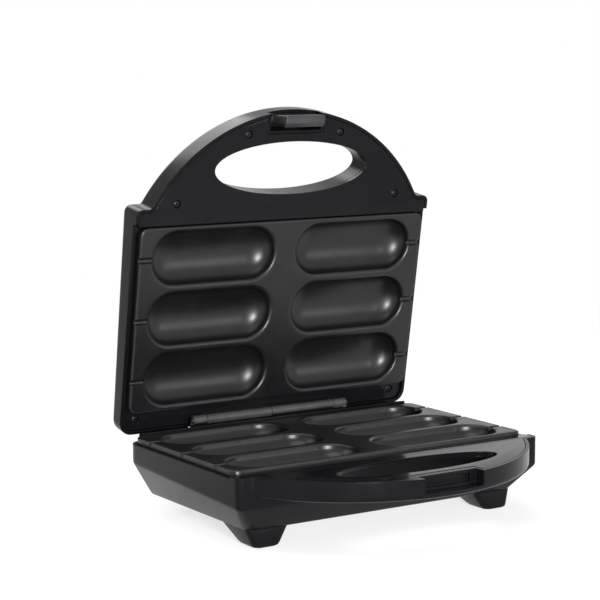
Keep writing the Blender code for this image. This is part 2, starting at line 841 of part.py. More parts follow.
# Feet under the base, their rubber pads and the cooling slots between them
def make_feet():
    root = foot_edges(front_foot_root_margin, front_foot_root_width,
                      -half_plate_y - front_foot_root_ahead, front_foot_root_length)
    bottom = foot_edges(front_foot_margin, front_foot_width, -half_plate_y - front_foot_ahead,
                        front_foot_length)
    rear_front = half_plate_y - rear_foot_rear_margin - rear_foot_length
    rear_root = foot_edges(rear_foot_margin, rear_foot_width, rear_front, rear_foot_length)
    rear_bottom = foot_edges(rear_foot_margin + rear_foot_taper, rear_foot_width - 2 * rear_foot_taper,
                             rear_front + rear_foot_taper, rear_foot_length - 2 * rear_foot_taper)
    for side, hand in ((-1, "left"), (1, "right")):
        add_foot("front_foot_" + hand, side, root, bottom)
        add_foot("rear_foot_" + hand, side, rear_root, rear_bottom)


def foot_edges(margin, width, front, length):
    # Inner, outer, front and back edges of a foot on the right
    outer = half_housing - margin
    return (outer - width, outer, front, front + length)


def foot_ring(side, edges, depth):
    inner, outer, front, back = edges
    middle = side * (inner + outer) / 2
    outline = rectangle((outer - inner) / 2, front, back, foot_corner_radius)
    return [(middle + p.x, p.y, depth) for p in outline]


def add_foot(name, side, root, bottom):
    rings = [foot_ring(side, root, housing_depth - foot_root), foot_ring(side, bottom, foot_bottom)]
    fuse(base_housing, solid(name, rings, base))
    inner, outer, front, back = bottom
    x = side * (inner + outer) / 2
    y = (front + back) / 2
    socket = plate_face_height - pad_height
    hole_radius = pad_radius + touch_gap
    cut(base_housing, turned("socket_" + name, [(hole_radius, socket - touch_gap),
                                                (hole_radius, foot_bottom + cut_over)], base, x, y))
    pad = turned("pad_" + name, [(pad_radius, socket), (pad_radius, plate_face_height)], base, x, y)
    dress(pad, rubber)


def make_vents():
    for column in (-1, 1):
        for slot in vent_places:
            y = slot * vent_pitch
            x = column * vent_side
            cut(base_housing, box(f"vent_{column}_{slot}", x - vent_length / 2, x + vent_length / 2,
                                  y - vent_width / 2, y + vent_width / 2, floor_depth - cut_over,
                                  housing_depth + cut_over, base))


# Heating elements, their clamps, shields and controls
def make_element(name, half):
    # U bend of a round sheath, its ends stepped down to the terminal pins
    leg_y = mould_row_pitch / 2
    steps = element_bend_steps
    path = [(element_tail_x + element_pin_length, -leg_y, element_pin_radius, math.pi),
            (element_tail_x, -leg_y, element_pin_radius, math.pi),
            (element_tail_x, -leg_y, element_radius, math.pi)]
    for step in range(steps + 1):
        angle = -math.pi / 2 - math.pi * step / steps
        path.append((-element_bend_x + leg_y * math.cos(angle), leg_y * math.sin(angle), element_radius,
                     math.pi - math.pi * step / steps))
    path += [(element_tail_x, leg_y, element_radius, 0), (element_tail_x, leg_y, element_pin_radius, 0),
             (element_tail_x + element_pin_length, leg_y, element_pin_radius, 0)]
    rings = []
    for x, y, radius, heading in path:
        ring = []
        for p in circle(0, 0, radius, element_sides):
            ring.append((x - p.x * math.sin(heading), y + p.x * math.cos(heading), element_depth + p.y))
        rings.append(ring)
    return dress(solid(name, rings, half), sheath_steel)


def make_heating(side, half, roof, shell):
    make_element(side + "_element", half)
    half_width = clamp_width / 2
    half_length = mould_row_pitch / 2 + clamp_overhang
    clamp = prism(side + "_element_clamp", rectangle(half_width, -half_length, half_length, half_width / 2),
                  clamp_depth, clamp_depth + clamp_thickness, half)
    cut(clamp, post("clamp_slot_" + side, 0, 0, screw_hole, 0, housing_depth, half))
    dress(clamp, bright_steel)
    set_screw(side + "_clamp_screw", short_screw, 0, 0, clamp_depth + clamp_thickness + touch_gap, half,
              False)
    shield_x = half_plate_x - shield_side_margin
    shield_y = half_plate_y - shield_end_margin
    inner = rectangle(shield_x - shield_thickness, shield_thickness - shield_y,
                      shield_y - shield_thickness, shield_radius - shield_thickness)
    outer = rectangle(shield_x, -shield_y, shield_y, shield_radius)
    rings = [level(inner, shield_depth), level(inner, shield_depth - shield_flange),
             level(outer, shield_depth - shield_flange), level(outer, shield_depth + shield_thickness)]
    dress(solid(side + "_heat_shield", rings, half), shield_metal)
    for column in (-1, 1):
        for row in (-1, 1):
            fuse(shell, post(f"shield_post_{side}_{column}_{row}", column * shield_post_side,
                             row * shield_post_back, boss_radius,
                             shield_depth + shield_thickness + touch_gap, roof + housing_wall / 2, half))
    for column in (-1, 1):
        for leg in (-1, 1):
            tag = f"{side}_plate_screw_{'left' if column < 0 else 'right'}_{'front' if leg < 0 else 'rear'}"
            set_screw(tag, short_screw, column * plate_screw_side, leg * plate_screw_back,
                      ring_back + touch_gap, half, False)


def make_controls():
    # Thermostat under the lower plate, thermal fuse behind the upper one
    top = plate_web + touch_gap
    profile = [(thermostat_radius, top), (thermostat_radius, top + thermostat_height)]
    thermostat = turned("thermostat", profile, base, 0, thermostat_back)
    for side in (-1, 1):
        x = side * thermostat_tab_spacing / 2
        fuse(thermostat, box(f"thermostat_tab_{side}", x - thermostat_tab_thickness / 2,
                             x + thermostat_tab_thickness / 2, thermostat_back - thermostat_tab_width / 2,
                             thermostat_back + thermostat_tab_width / 2, top + thermostat_height / 2,
                             top + thermostat_height + thermostat_tab_height, base))
    dress(thermostat, sheath_steel)
    depth = plate_web + touch_gap + fuse_radius
    body = fuse_length / 2
    lead = body + fuse_lead_length
    stations = [(fuse_lead_radius, -lead), (fuse_lead_radius, -body), (fuse_radius, -body),
                (fuse_radius, body), (fuse_lead_radius, body), (fuse_lead_radius, lead)]
    rings = [[(p.x, y - thermostat_back, depth + p.y) for p in circle(0, 0, radius)]
             for radius, y in stations]
    dress(solid("thermal_fuse", rings, lid), bright_steel)


def make_terminal_block():
    low = block_depth
    block = box("terminal_block", gland_x - block_length / 2, gland_x + block_length / 2,
                block_back - block_width / 2, block_back + block_width / 2, low, low + block_height, base)
    for way in block_ways:
        ring = circle(gland_x + way * block_pitch, low + block_height / 2, block_channel_radius)
        channel = [[(p.x, y, p.y) for p in ring] for y in (block_back - block_width,
                                                           block_back + block_width)]
        cut(block, solid(f"channel_{way}", channel, base),
            post(f"clamp_hole_block_{way}", gland_x + way * block_pitch, block_back,
                 block_channel_radius, low - cut_over, low + block_height / 2, base))
    dress(block, cream_plastic)


def make_gland():
    # The gland stands square to the sloping rear wall
    slope = math.atan2(base_rear_flare, housing_depth - base_wall_rear)
    surface_y = base_back_y - (gland_depth - base_wall_rear) * math.tan(slope)
    outer = touch_gap + gland_flange_thickness
    inner = -gland_grip
    end = inner - gland_flange_thickness
    profile = [(gland_bore, end), (gland_flange - gland_flange_thickness / 2, end),
               (gland_flange - gland_flange_thickness / 2, inner), (gland_neck, inner),
               (gland_neck, touch_gap), (gland_flange, touch_gap), (gland_flange, outer),
               (gland_nose_radius, outer), (gland_nose_radius, outer + gland_nose_length),
               (gland_bore, outer + gland_nose_length)]
    gland = turned("cord_gland", profile, (base_datum, 1), looped=True)
    hole = turned("gland_hole", [(gland_neck + touch_gap, -cut_over), (gland_neck + touch_gap, cut_over)],
                  (base_datum, 1))
    for made in (gland, hole):
        made.location = (gland_x, surface_y, -gland_depth)
        made.rotation_euler = (-math.pi / 2 - slope, 0, 0)
    cut(base_housing, hole)
    dress(gland, rubber)


def make_indicators():
    for side, name, made in ((-1, "power", red_lens), (1, "ready", green_lens)):
        x = side * lens_side
        y = -lens_front
        seat = housing_depth - lens_flange_height
        neck_hole = lens_neck_radius + touch_gap
        flange_hole = lens_flange_radius + touch_gap
        hole = [(neck_hole, lid_roof_depth - cut_over), (neck_hole, seat - touch_gap),
                (flange_hole, seat - touch_gap), (flange_hole, housing_depth + cut_over)]
        cut(lid_cover, turned(name + "_lens_hole", hole, lid, x, y))
        face = housing_depth - lens_face
        end = seat - lens_neck_length
        profile = [(lens_bore, face), (lens_bore, end), (lens_neck_radius, end), (lens_neck_radius, seat),
                   (lens_flange_radius, seat), (lens_flange_radius, housing_depth)]
        dress(turned(name + "_lens", profile, lid, x, y), made)
        top = face - touch_gap
        profile = [(lamp_tip, top), (lamp_radius, top - lamp_tip), (lamp_radius, top - lamp_length)]
        dress(turned(name + "_lamp", profile, lid, x, y), lamp_glass)


# The assembly
base_housing = make_shell("base_housing", base, base_rim, base_panel, base_wall_rear, base_wall_front,
                          base_handle_depth, base_back_y, base_rear_radius, base_rear_flare, 0)
lid_cover = make_shell("lid_cover", lid, lid_rim, lid_panel, lid_wall_rear, lid_wall_front,
                       lid_handle_depth, lid_back_y, lid_rear_radius, lid_rear_flare, lid_crown)
base_frame = make_frame("base_frame", base, base_panel, base_back_y, base_rear_radius)
lid_frame = make_frame("lid_frame", lid, lid_panel, lid_back_y, lid_rear_radius)
lower_plate = make_plate("lower_plate", base)
upper_plate = make_plate("upper_plate", lid)

recess_y = bow_y + recess_back_margin
pocket_y = bow_y + pocket_back_margin
catch_wall = catch_depth + pocket_wall
recess = add_pocket(base_housing, base, recess_width, recess_y, catch_wall, base_panel, recess_depth)
pocket = add_pocket(lid_cover, lid, pocket_width, pocket_y, pocket_wall, lid_panel, pocket_depth)
notch_panel(base_frame, base, recess_width, recess_y + catch_wall)
notch_panel(lid_frame, lid, pocket_width, pocket_y + pocket_wall)

make_heating("lower", base, floor_depth, base_housing)
make_heating("upper", lid, lid_roof_depth, lid_cover)
for count, (screw_x, screw_y) in enumerate(handle_screws(lid_ledge_screw_margin), 1):
    tie_inward(count, lid_frame, lid_cover, screw_x, screw_y, lid_panel, lid_panel + panel_thickness,
               lid_handle_depth - housing_wall / 2, lid)
for count, (screw_x, screw_y) in enumerate(handle_screws(base_ledge_screw_margin), 1):
    tie_outward(count, base_frame, base_housing, screw_x, screw_y, base_panel + panel_thickness,
                handle_boss_length, base_handle_depth, base)
for count, side in enumerate((-1, 1), count + 1):
    tie_inward(count, lid_frame, lid_cover, side * (half_housing - lid_rear_screw_side_margin),
               half_plate_y + lid_rear_screw_margin, ring_top, ring_back,
               housing_depth - lid_corner_boss_margin, lid)
    tie_outward(count, base_frame, base_housing, side * (half_housing - base_rear_screw_side_margin),
                half_plate_y - base_rear_screw_margin, ring_back, corner_boss_length, housing_depth, base)

make_hinge()
make_latch()
make_feet()
make_vents()
make_controls()
make_terminal_block()
make_gland()
make_indicators()

# Last cuts: the latch's pocket and recess, its pin's holes, the catch and the grip openings
pocket_x = pocket_width / 2 + pocket_wall
cut(lid_cover, pocket, bar("pin_holes", latch_y, latch_pivot_depth, latch_pin_radius + touch_gap,
                           -pocket_x, pocket_x, lid))
catch_top = base_panel + catch_ledge
cut(base_housing, recess, box("catch", -catch_width / 2, catch_width / 2, recess_y - cut_over / 2,
                              recess_y + catch_depth, catch_top, catch_top + catch_height, base))
cut_grip(base_housing, base)
cut_grip(lid_cover, lid)
dress(base_housing, black_plastic)
dress(lid_cover, black_plastic)
dress(base_frame, frame_plastic)
dress(lid_frame, frame_plastic)
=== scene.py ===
# Corn dog maker, dressed for the studio: cast plates, moulded shells, latch, floor, lights and camera.
# Sizes are in metres. Each half is shaped in its own depths, measured from its plate's face into its
# housing, and then carried to where the frame says that the half stands.
import json
import math

import bmesh
import bpy
import numpy as np
from mathutils import Matrix, Vector

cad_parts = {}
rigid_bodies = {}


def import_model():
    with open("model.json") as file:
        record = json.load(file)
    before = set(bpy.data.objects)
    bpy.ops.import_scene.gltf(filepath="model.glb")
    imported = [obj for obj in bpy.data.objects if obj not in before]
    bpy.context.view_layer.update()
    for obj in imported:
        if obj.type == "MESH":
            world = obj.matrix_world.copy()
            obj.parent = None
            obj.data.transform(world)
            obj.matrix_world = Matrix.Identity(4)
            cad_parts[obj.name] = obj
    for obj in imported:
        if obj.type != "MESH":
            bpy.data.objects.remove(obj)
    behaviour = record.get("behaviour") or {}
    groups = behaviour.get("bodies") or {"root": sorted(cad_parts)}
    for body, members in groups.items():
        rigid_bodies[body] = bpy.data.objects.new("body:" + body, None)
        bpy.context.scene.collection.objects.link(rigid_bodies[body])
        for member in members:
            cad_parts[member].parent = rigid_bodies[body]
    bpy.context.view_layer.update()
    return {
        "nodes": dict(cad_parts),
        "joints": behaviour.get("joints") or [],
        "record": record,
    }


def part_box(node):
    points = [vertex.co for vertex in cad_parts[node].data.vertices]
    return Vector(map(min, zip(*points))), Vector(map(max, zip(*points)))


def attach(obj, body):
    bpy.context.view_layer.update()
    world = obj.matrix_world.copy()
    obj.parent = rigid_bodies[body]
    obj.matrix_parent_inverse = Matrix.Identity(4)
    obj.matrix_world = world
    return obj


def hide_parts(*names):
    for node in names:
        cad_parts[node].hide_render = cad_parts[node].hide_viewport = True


print("Loading the frame")
for leftOver in list(bpy.data.objects):
    bpy.data.objects.remove(leftOver, do_unlink=True)
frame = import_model()

# Where the two halves stand
jointOf = {joint["name"]: joint for joint in frame["joints"]}
hinge = np.array(jointOf["lid_hinge"]["pos_m"])
openAngle = math.radians(-jointOf["lid_hinge"]["range_deg"][0])
lowCorner, highCorner = (np.array(corner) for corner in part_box("lower_plate"))
plateFace = highCorner[2]
plateMiddle = (lowCorner[1] + highCorner[1]) / 2
plateHalf = np.array([highCorner[0], (highCorner[1] - lowCorner[1]) / 2])
closedGap = 0.0009  # between the two plates' faces when the lid is shut
sideOfPlate = {"lower": "base", "upper": "lid"}
hands = {-1: "left", 1: "right"}
ends = {-1: "front", 1: "rear"}
slotOfNode = {part["node"]: part["material_slot"] for part in frame["record"]["subparts"]}


def swung(y, z, angle):
    # Turned about X, from Z towards Y
    c, s = math.cos(angle), math.sin(angle)
    return c * y + s * z, c * z - s * y


def toBase(points):
    # (x, y, depth) of the base to the world
    x, y, depth = points.T
    return np.stack([x, y + plateMiddle, plateFace - depth], -1)


def toLid(points):
    # (x, y, depth) of the lid to the world: laid over the base, then swung open about the hinge
    x, y, depth = points.T
    y, z = swung(y + plateMiddle - hinge[1], plateFace + closedGap + depth - hinge[2], openAngle)
    return np.stack([x, hinge[1] + y, hinge[2] + z], -1)


carryOf = {"base": toBase, "lid": toLid}


# Materials
def feed(tree, node, feeds):
    # Each feed is another node's socket or a plain value, by the input's name or number
    for key, value in feeds.items():
        if isinstance(value, bpy.types.NodeSocket):
            tree.links.new(value, node.inputs[key])
        else:
            node.inputs[key].default_value = value


def addNode(tree, kind, feeds=None, **settings):
    node = tree.nodes.new(kind)
    for key, value in settings.items():
        setattr(node, key, value)
    feed(tree, node, feeds or {})
    return node


def startMaterial(name):
    material = bpy.data.materials.new(name)
    material.use_nodes = True
    return material, material.node_tree, material.node_tree.nodes["Principled BSDF"]


def noiseOf(tree, place, scale, detail=3.0, stretch=(1, 1, 1)):
    # Noise on object coordinates, scale in spots to a metre
    mapping = addNode(tree, "ShaderNodeMapping", {"Vector": place, "Scale": stretch})
    noise = addNode(tree, "ShaderNodeTexNoise",
                    {"Vector": mapping.outputs["Vector"], "Scale": scale, "Detail": detail})
    return noise.outputs["Fac"]


def rampOf(tree, source, low, high, start=0.35, end=0.65):
    # Spreads a mask between two greys or two colours
    ramp = addNode(tree, "ShaderNodeValToRGB", {"Fac": source})
    for stop, place, value in zip(ramp.color_ramp.elements, (start, end), (low, high)):
        stop.position = place
        stop.color = (*value, 1) if isinstance(value, tuple) else (value, value, value, 1)
    return ramp.outputs["Color"]


def maths(tree, operation, first, second):
    return addNode(tree, "ShaderNodeMath", {0: first, 1: second}, operation=operation).outputs["Value"]


ageing = {
    "arrisStart": 0.80, "arrisEnd": 0.995, "spots": (0.2, 1.0, 0.4, 0.7), "patchScale": 3.3,
    "patchDetail": 4.0, "grainDetail": 2.0, "edgeSamples": 4, "coatRough": 0.1,
}


def surfaceMaterial(name, look):
    # Colour in two close tones, roughness that wanders, fine grain, soft edges and worn arrises
    material, tree, shader = startMaterial(name)
    place = addNode(tree, "ShaderNodeTexCoord").outputs["Object"]
    broad = noiseOf(tree, place, look["broadScale"])
    fine = noiseOf(tree, place, look["grainScale"], ageing["grainDetail"], look["stretch"])
    patches = noiseOf(tree, place, look["broadScale"] * ageing["patchScale"], ageing["patchDetail"])
    bevel = addNode(tree, "ShaderNodeBevel", {"Radius": look["edge"]}, samples=ageing["edgeSamples"])
    soft = bevel.outputs["Normal"]
    flat = addNode(tree, "ShaderNodeNewGeometry").outputs["Normal"]
    facing = addNode(tree, "ShaderNodeVectorMath", {0: soft, 1: flat}, operation="DOT_PRODUCT")
    arris = rampOf(tree, facing.outputs["Value"], 1.0, 0.0, ageing["arrisStart"], ageing["arrisEnd"])
    worn = maths(tree, "MULTIPLY", arris, rampOf(tree, fine, *ageing["spots"]))
    tones = addNode(tree, "ShaderNodeMix",
                    {"Factor": maths(tree, "MULTIPLY", worn, look["wear"]),
                     "A": rampOf(tree, broad, *look["tones"]), "B": (*look["worn"], 1)}, data_type="RGBA")
    bump = addNode(tree, "ShaderNodeBump", {"Strength": look["grain"], "Distance": look["grainDepth"],
                                            "Height": fine, "Normal": soft})
    feed(tree, shader, {
        "Base Color": tones.outputs["Result"], "Roughness": rampOf(tree, patches, *look["rough"]),
        "Normal": bump.outputs["Normal"], "Metallic": look["metal"],
        "Specular IOR Level": look["specular"], "Coat Weight": look["coat"],
        "Coat Roughness": ageing["coatRough"]})
    return material


# Every finish has these unless it says otherwise
commonLook = dict(broadScale=120, grainScale=2600, grain=0.2, grainDepth=0.00003, edge=0.0005, wear=0.2,
                  metal=0.0, specular=0.5, coat=0.0, stretch=(1, 1, 1))
lensLook = dict(broadScale=300, grainScale=900, grain=0.05, wear=0.1, rough=(0.10, 0.18), coat=0.4)
finishes = {
    "shellPlastic": dict(slot="black_plastic", tones=((0.0036, 0.0036, 0.0046), (0.0052, 0.0052, 0.0064)),
        worn=(0.022, 0.022, 0.024), broadScale=28, grain=0.10, edge=0.0007, rough=(0.20, 0.25),
        specular=0.09),
    "framePlastic": dict(slot="frame_plastic", tones=((0.0042, 0.0042, 0.0054), (0.0058, 0.0058, 0.0072)),
        worn=(0.022, 0.022, 0.024), broadScale=24, grainScale=2200, grain=0.06, grainDepth=0.00002,
        edge=0.0007, rough=(0.09, 0.14), specular=0.11),
    "latchPlastic": dict(slot="latch_plastic", tones=((0.020, 0.020, 0.022), (0.028, 0.028, 0.030)),
        worn=(0.07, 0.07, 0.072), broadScale=90, grainScale=3000, grainDepth=0.00004, wear=0.4,
        rough=(0.28, 0.38), specular=0.25),
    # Hinge barrel: the frame's plastic, matt, with a lighter grey that is painted light
    "barrelPlastic": dict(tones=((0.030, 0.030, 0.031), (0.044, 0.044, 0.045)), worn=(0.09, 0.09, 0.092),
        grainScale=2400, grain=0.25, grainDepth=0.00005, edge=0.0004, wear=0.4, rough=(0.36, 0.46),
        specular=0.4),
    "plateCoating": dict(slot="coated_aluminium",
        tones=((0.0032, 0.0032, 0.0038), (0.0052, 0.0052, 0.0059)), worn=(0.04, 0.04, 0.042), broadScale=45,
        grainScale=1500, grain=0.22, grainDepth=0.00005, edge=0.0006, wear=0.35, rough=(0.31, 0.36),
        specular=0.36),
    "zincSteel": dict(slot="bright_steel", tones=((0.52, 0.52, 0.53), (0.62, 0.62, 0.61)),
        worn=(0.7, 0.7, 0.7), broadScale=160, grainScale=1800, grain=0.15, edge=0.0003, rough=(0.24, 0.36),
        metal=1.0),
    "blackSteel": dict(slot="dark_steel", tones=((0.013, 0.013, 0.014), (0.022, 0.022, 0.024)),
        worn=(0.07, 0.07, 0.072), broadScale=220, edge=0.00025, wear=0.3, rough=(0.32, 0.44), metal=0.9),
    "sheathSteel": dict(slot="sheath_steel", tones=((0.24, 0.225, 0.205), (0.31, 0.30, 0.28)),
        worn=(0.42, 0.41, 0.40), grainScale=900, grainDepth=0.00004, edge=0.0003, rough=(0.4, 0.55),
        metal=0.95),
    "shieldSheet": dict(slot="shield_metal", tones=((0.58, 0.585, 0.60), (0.66, 0.665, 0.67)),
        worn=(0.75, 0.75, 0.75), broadScale=60, grainScale=700, grain=0.15, grainDepth=0.00004, edge=0.0004,
        rough=(0.28, 0.4), metal=1.0, stretch=(1, 8, 1)),
    "footRubber": dict(slot="rubber", tones=((0.014, 0.014, 0.014), (0.022, 0.022, 0.021)),
        worn=(0.05, 0.05, 0.048), broadScale=200, grain=0.5, grainDepth=0.00008, wear=0.5,
        rough=(0.7, 0.9)),
    "creamBlock": dict(slot="cream_plastic", tones=((0.70, 0.66, 0.55), (0.76, 0.72, 0.61)),
        worn=(0.84, 0.82, 0.74), broadScale=140, grainScale=1600, grain=0.25, grainDepth=0.00005,
        edge=0.0004, rough=(0.42, 0.56)),
    "redLens": dict(lensLook, slot="red_lens", tones=((0.50, 0.018, 0.012), (0.62, 0.03, 0.02)),
        worn=(0.8, 0.3, 0.25)),
    "greenLens": dict(lensLook, slot="green_lens", tones=((0.02, 0.32, 0.055), (0.03, 0.42, 0.08)),
        worn=(0.3, 0.7, 0.35)),
    "lampGlass": dict(slot="lamp_glass", tones=((0.80, 0.66, 0.56), (0.88, 0.74, 0.64)),
        worn=(0.9, 0.85, 0.8), broadScale=400, grainScale=600, grain=0.05, grainDepth=0.00002, edge=0.0003,
        wear=0.1, rough=(0.06, 0.12), coat=0.3),
}
madeOf = {name: surfaceMaterial(name, {**commonLook, **look}) for name, look in finishes.items()}
finishOfSlot = {look["slot"]: name for name, look in finishes.items() if "slot" in look}

carried = {"smoothAngle": 36, "merge": 1e-6}


def smoothingGroup():
    # Joins a node's loose triangles and smooths its shading up to an angle
    group = bpy.data.node_groups.new("smoothing", "GeometryNodeTree")
    for way in ("INPUT", "OUTPUT"):
        group.interface.new_socket("Geometry", in_out=way, socket_type="NodeSocketGeometry")
    start = addNode(group, "NodeGroupInput")
    merge = addNode(group, "GeometryNodeMergeByDistance",
                    {"Geometry": start.outputs[0], "Distance": carried["merge"]})
    faces = addNode(group, "GeometryNodeSetShadeSmooth", {"Geometry": merge.outputs["Geometry"]})
    bend = addNode(group, "GeometryNodeInputMeshEdgeAngle").outputs["Unsigned Angle"]
    below = addNode(group, "FunctionNodeCompare", {"A": bend, "B": math.radians(carried["smoothAngle"])},
                    operation="LESS_THAN")
    edges = addNode(group, "GeometryNodeSetShadeSmooth",
                    {"Geometry": faces.outputs["Geometry"], "Shade Smooth": below.outputs["Result"]},
                    domain="EDGE")
    addNode(group, "NodeGroupOutput", {0: edges.outputs["Geometry"]})
    return group


print("Dressing the carried parts")
smoothing = smoothingGroup()
for nodeName, node in frame["nodes"].items():
    node.data.materials.clear()
    node.data.materials.append(madeOf[finishOfSlot[slotOfNode[nodeName]]])
    node.modifiers.new("smoothing", "NODES").node_group = smoothing


# Mesh making
meshForm = {"merge": 2e-6, "sharp": 30, "poleRadius": 0.0002, "leastLean": 0.3,
            "turnedSteps": 40, "barSteps": 48, "postSteps": 32, "softSteps": 5}
rounding = 1e-7
tiny = 1e-9


def quarterTurn(steps):
    return np.linspace(0, math.pi / 2, steps)


def wholeTurn(steps):
    # Angles round a circle, each in the middle of its step
    return 2 * math.pi * (np.arange(steps) + 0.5) / steps


def gridFaces(rows, columns, closedRows=False, closedColumns=False, flip=False):
    # Quads of a grid of points numbered row by row; a closed side joins its last line to its first
    index = np.arange(rows * columns).reshape(rows, columns)
    if closedRows:
        index = np.concatenate([index, index[:1]], 0)
    if closedColumns:
        index = np.concatenate([index, index[:, :1]], 1)
    quads = np.stack([index[:-1, :-1], index[:-1, 1:], index[1:, 1:], index[1:, :-1]], -1).reshape(-1, 4)
    return quads[:, ::-1] if flip else quads


def newObject(name, points, faces):
    mesh = bpy.data.meshes.new(name)
    mesh.from_pydata(points.reshape(-1, 3).tolist(), [], faces)
    made = bpy.data.objects.new(name, mesh)
    bpy.context.scene.collection.objects.link(made)
    return made


def mend(mesh, merge=0.0):
    # Merges points that lie closer than merge, turns the faces outwards and counts the open edges
    shape = bmesh.new()
    shape.from_mesh(mesh)
    if merge > 0:
        bmesh.ops.remove_doubles(shape, verts=shape.verts, dist=merge)
        bmesh.ops.dissolve_degenerate(shape, edges=shape.edges, dist=merge)
    bmesh.ops.recalc_face_normals(shape, faces=shape.faces)
    openEdges = sum(1 for edge in shape.edges if not edge.is_manifold)
    shape.to_mesh(mesh)
    shape.free()
    return openEdges


def settle(solid, body, node, carry=None, finish=None, sharp=meshForm["sharp"], merge=meshForm["merge"]):
    # Carries a piece from its half's depths into the world and hands it to its body, where it stands for
    # its node
    mesh = solid.data
    points = np.zeros(len(mesh.vertices) * 3)
    mesh.vertices.foreach_get("co", points)
    mesh.vertices.foreach_set("co", (carry or carryOf[body])(points.reshape(-1, 3)).ravel())
    openEdges = mend(mesh, merge)
    mesh.materials.clear()
    mesh.materials.append(madeOf[finish or finishOfSlot[slotOfNode[node]]])
    mesh.shade_smooth()
    mesh.set_sharp_from_angle(angle=math.radians(sharp))
    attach(solid, body)
    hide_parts(node)
    print(" ", solid.name, len(mesh.polygons), "faces", openEdges, "open edges")


# Cooking plates: six capsule moulds, each in its own cell of the face
print("Casting the plates")
plate = {
    "columnPitch": 0.110, "rowPitch": 0.041, "straight": 0.02875, "radius": 0.0175, "depth": 0.012,
    "lip": 0.0025, "lipDepth": 0.0018, "wall": 0.0025, "edgeRound": 0.001, "cornerRadius": 0.005,
    "web": 0.004, "skirt": 0.0062, "skirtSide": 0.0072, "skirtEnd": 0.003, "grooveRadius": 0.0021,
    "besideGroove": (0.0002, 0.0005, 0.001), "fanAngle": 18, "tipSteps": 10, "arcSteps": 22,
    "straightSteps": 14, "flatRings": 5, "lipRings": 7, "mouldRings": 18, "backRings": 9,
    "edgeRings": 6, "sharp": 40, "merge": 1e-6,
}


def smoothStep(t):
    # Three squares of t less two cubes, held between 0 and 1
    t = np.clip(t, 0, 1)
    return t * t * (3 - 2 * t)


def capsuleAngles():
    # Directions round a quarter of the capsule's end: equal steps of y in the groove, then of angle
    p = plate
    inGroove = p["grooveRadius"] * np.sin(quarterTurn(p["tipSteps"]))
    beside = p["grooveRadius"] + np.array(p["besideGroove"])
    first = np.arcsin(np.concatenate([inGroove, beside]) / (p["radius"] + p["lip"]))
    return np.concatenate([first, np.linspace(first[-1], math.pi / 2, p["arcSteps"])[1:]])


def cellOutlines(row):
    # Matching points on the lip's outer outline and on the edge of its cell, for a cell at right
    p = plate
    outer = p["radius"] + p["lip"]
    half = plateHalf - p["edgeRound"]
    corner = p["cornerRadius"] - p["edgeRound"]
    midX, midY = p["columnPitch"] / 2, row * p["rowPitch"]
    up = half[1] - midY if row > 0 else p["rowPitch"] / 2
    down = half[1] + midY if row < 0 else p["rowPitch"] / 2
    angles = capsuleAngles()
    way = np.stack([np.cos(angles), np.sin(angles)], -1)
    fanStart = angles[p["tipSteps"] + len(p["besideGroove"]) - 1]
    share = smoothStep((angles - fanStart) / math.radians(p["fanAngle"]))[:, None]
    lines = []
    for side in (1, -1):  # the tip's end, then the inner end
        tip = half[0] - midX - p["straight"] if side > 0 else midX - p["straight"]
        for vertical, reach in ((1, up), (-1, down)):
            near = way * outer
            far = way * (np.array([tip, reach]) / np.maximum(way, tiny)).min(-1, keepdims=True)
            far[np.argmin(np.abs(angles - math.atan2(reach, tip)))] = (tip, reach)
            level = far[:, :1] >= tip - tiny
            far[:, 1:] = np.where(level, near[:, 1:] + (far[:, 1:] - near[:, 1:]) * share, far[:, 1:])
            for points in (near, far):
                points[:, 0] = midX + side * (points[:, 0] + p["straight"])
                points[:, 1] = midY + vertical * points[:, 1]
            lines.append((near, far))
    steps = np.linspace(1, -1, p["straightSteps"] + 1)[1:-1] * p["straight"] + midX
    top = [np.stack([steps, np.full_like(steps, midY + reach)], -1) for reach in (outer, up)]
    bottom = [np.stack([steps[::-1], np.full_like(steps, midY - reach)], -1) for reach in (outer, down)]
    rightUp, rightDown, leftUp, leftDown = lines
    near, far = (np.concatenate([rightUp[k], top[k], leftUp[k][::-1], leftDown[k][1:], bottom[k],
                                 rightDown[k][::-1][:-1]]) for k in (0, 1))
    # The plate's own corners are round
    centre = half - corner
    past = (np.abs(far) > centre).all(-1)[:, None]
    away = np.where(past, np.abs(far) - centre, 1)
    rounded = np.sign(far) * (centre + away / np.linalg.norm(away, axis=-1, keepdims=True) * corner)
    spine = np.stack([np.clip(near[:, 0], midX - p["straight"], midX + p["straight"]),
                      np.full(len(near), midY)], -1)
    return near, np.where(past, rounded, far), spine


def ringSheet(plan, depth, column=1, flip=False):
    # Points and quads of rings that lie one inside the other, each closed
    points = np.concatenate([plan * (column, 1), depth[..., None]], -1)
    return points, gridFaces(*depth.shape, closedColumns=True, flip=flip)


def skirtSheet(rim):
    # Round the plate's edge, down its skirt and back under to the web
    p = plate
    rim = rim[np.argsort(np.arctan2(rim[:, 1] / plateHalf[1], rim[:, 0] / plateHalf[0]))]
    rim = rim[np.linalg.norm(rim - np.roll(rim, 1, 0), axis=-1) > rounding]
    inner, well = plateHalf - p["cornerRadius"], plateHalf - (p["skirtSide"], p["skirtEnd"])
    out = (rim[:, :2] - np.clip(rim[:, :2], -inner, inner)) / (p["cornerRadius"] - p["edgeRound"])
    turn = quarterTurn(p["edgeRings"])
    grow = np.concatenate([np.sin(turn), [1.0]]) * p["edgeRound"]
    fall = np.concatenate([(1 - np.cos(turn)) * p["edgeRound"], [p["skirt"]]])
    wellPlan = np.clip(rim[:, :2], -well, well)
    plan = np.concatenate([rim[:, :2] + out * grow[:, None, None], wellPlan[None], wellPlan[None]])
    under = np.broadcast_to([[p["skirt"]], [p["web"]]], (2, len(rim)))
    return ringSheet(plan, np.concatenate([np.maximum(fall[:, None], rim[:, 2]), under]))


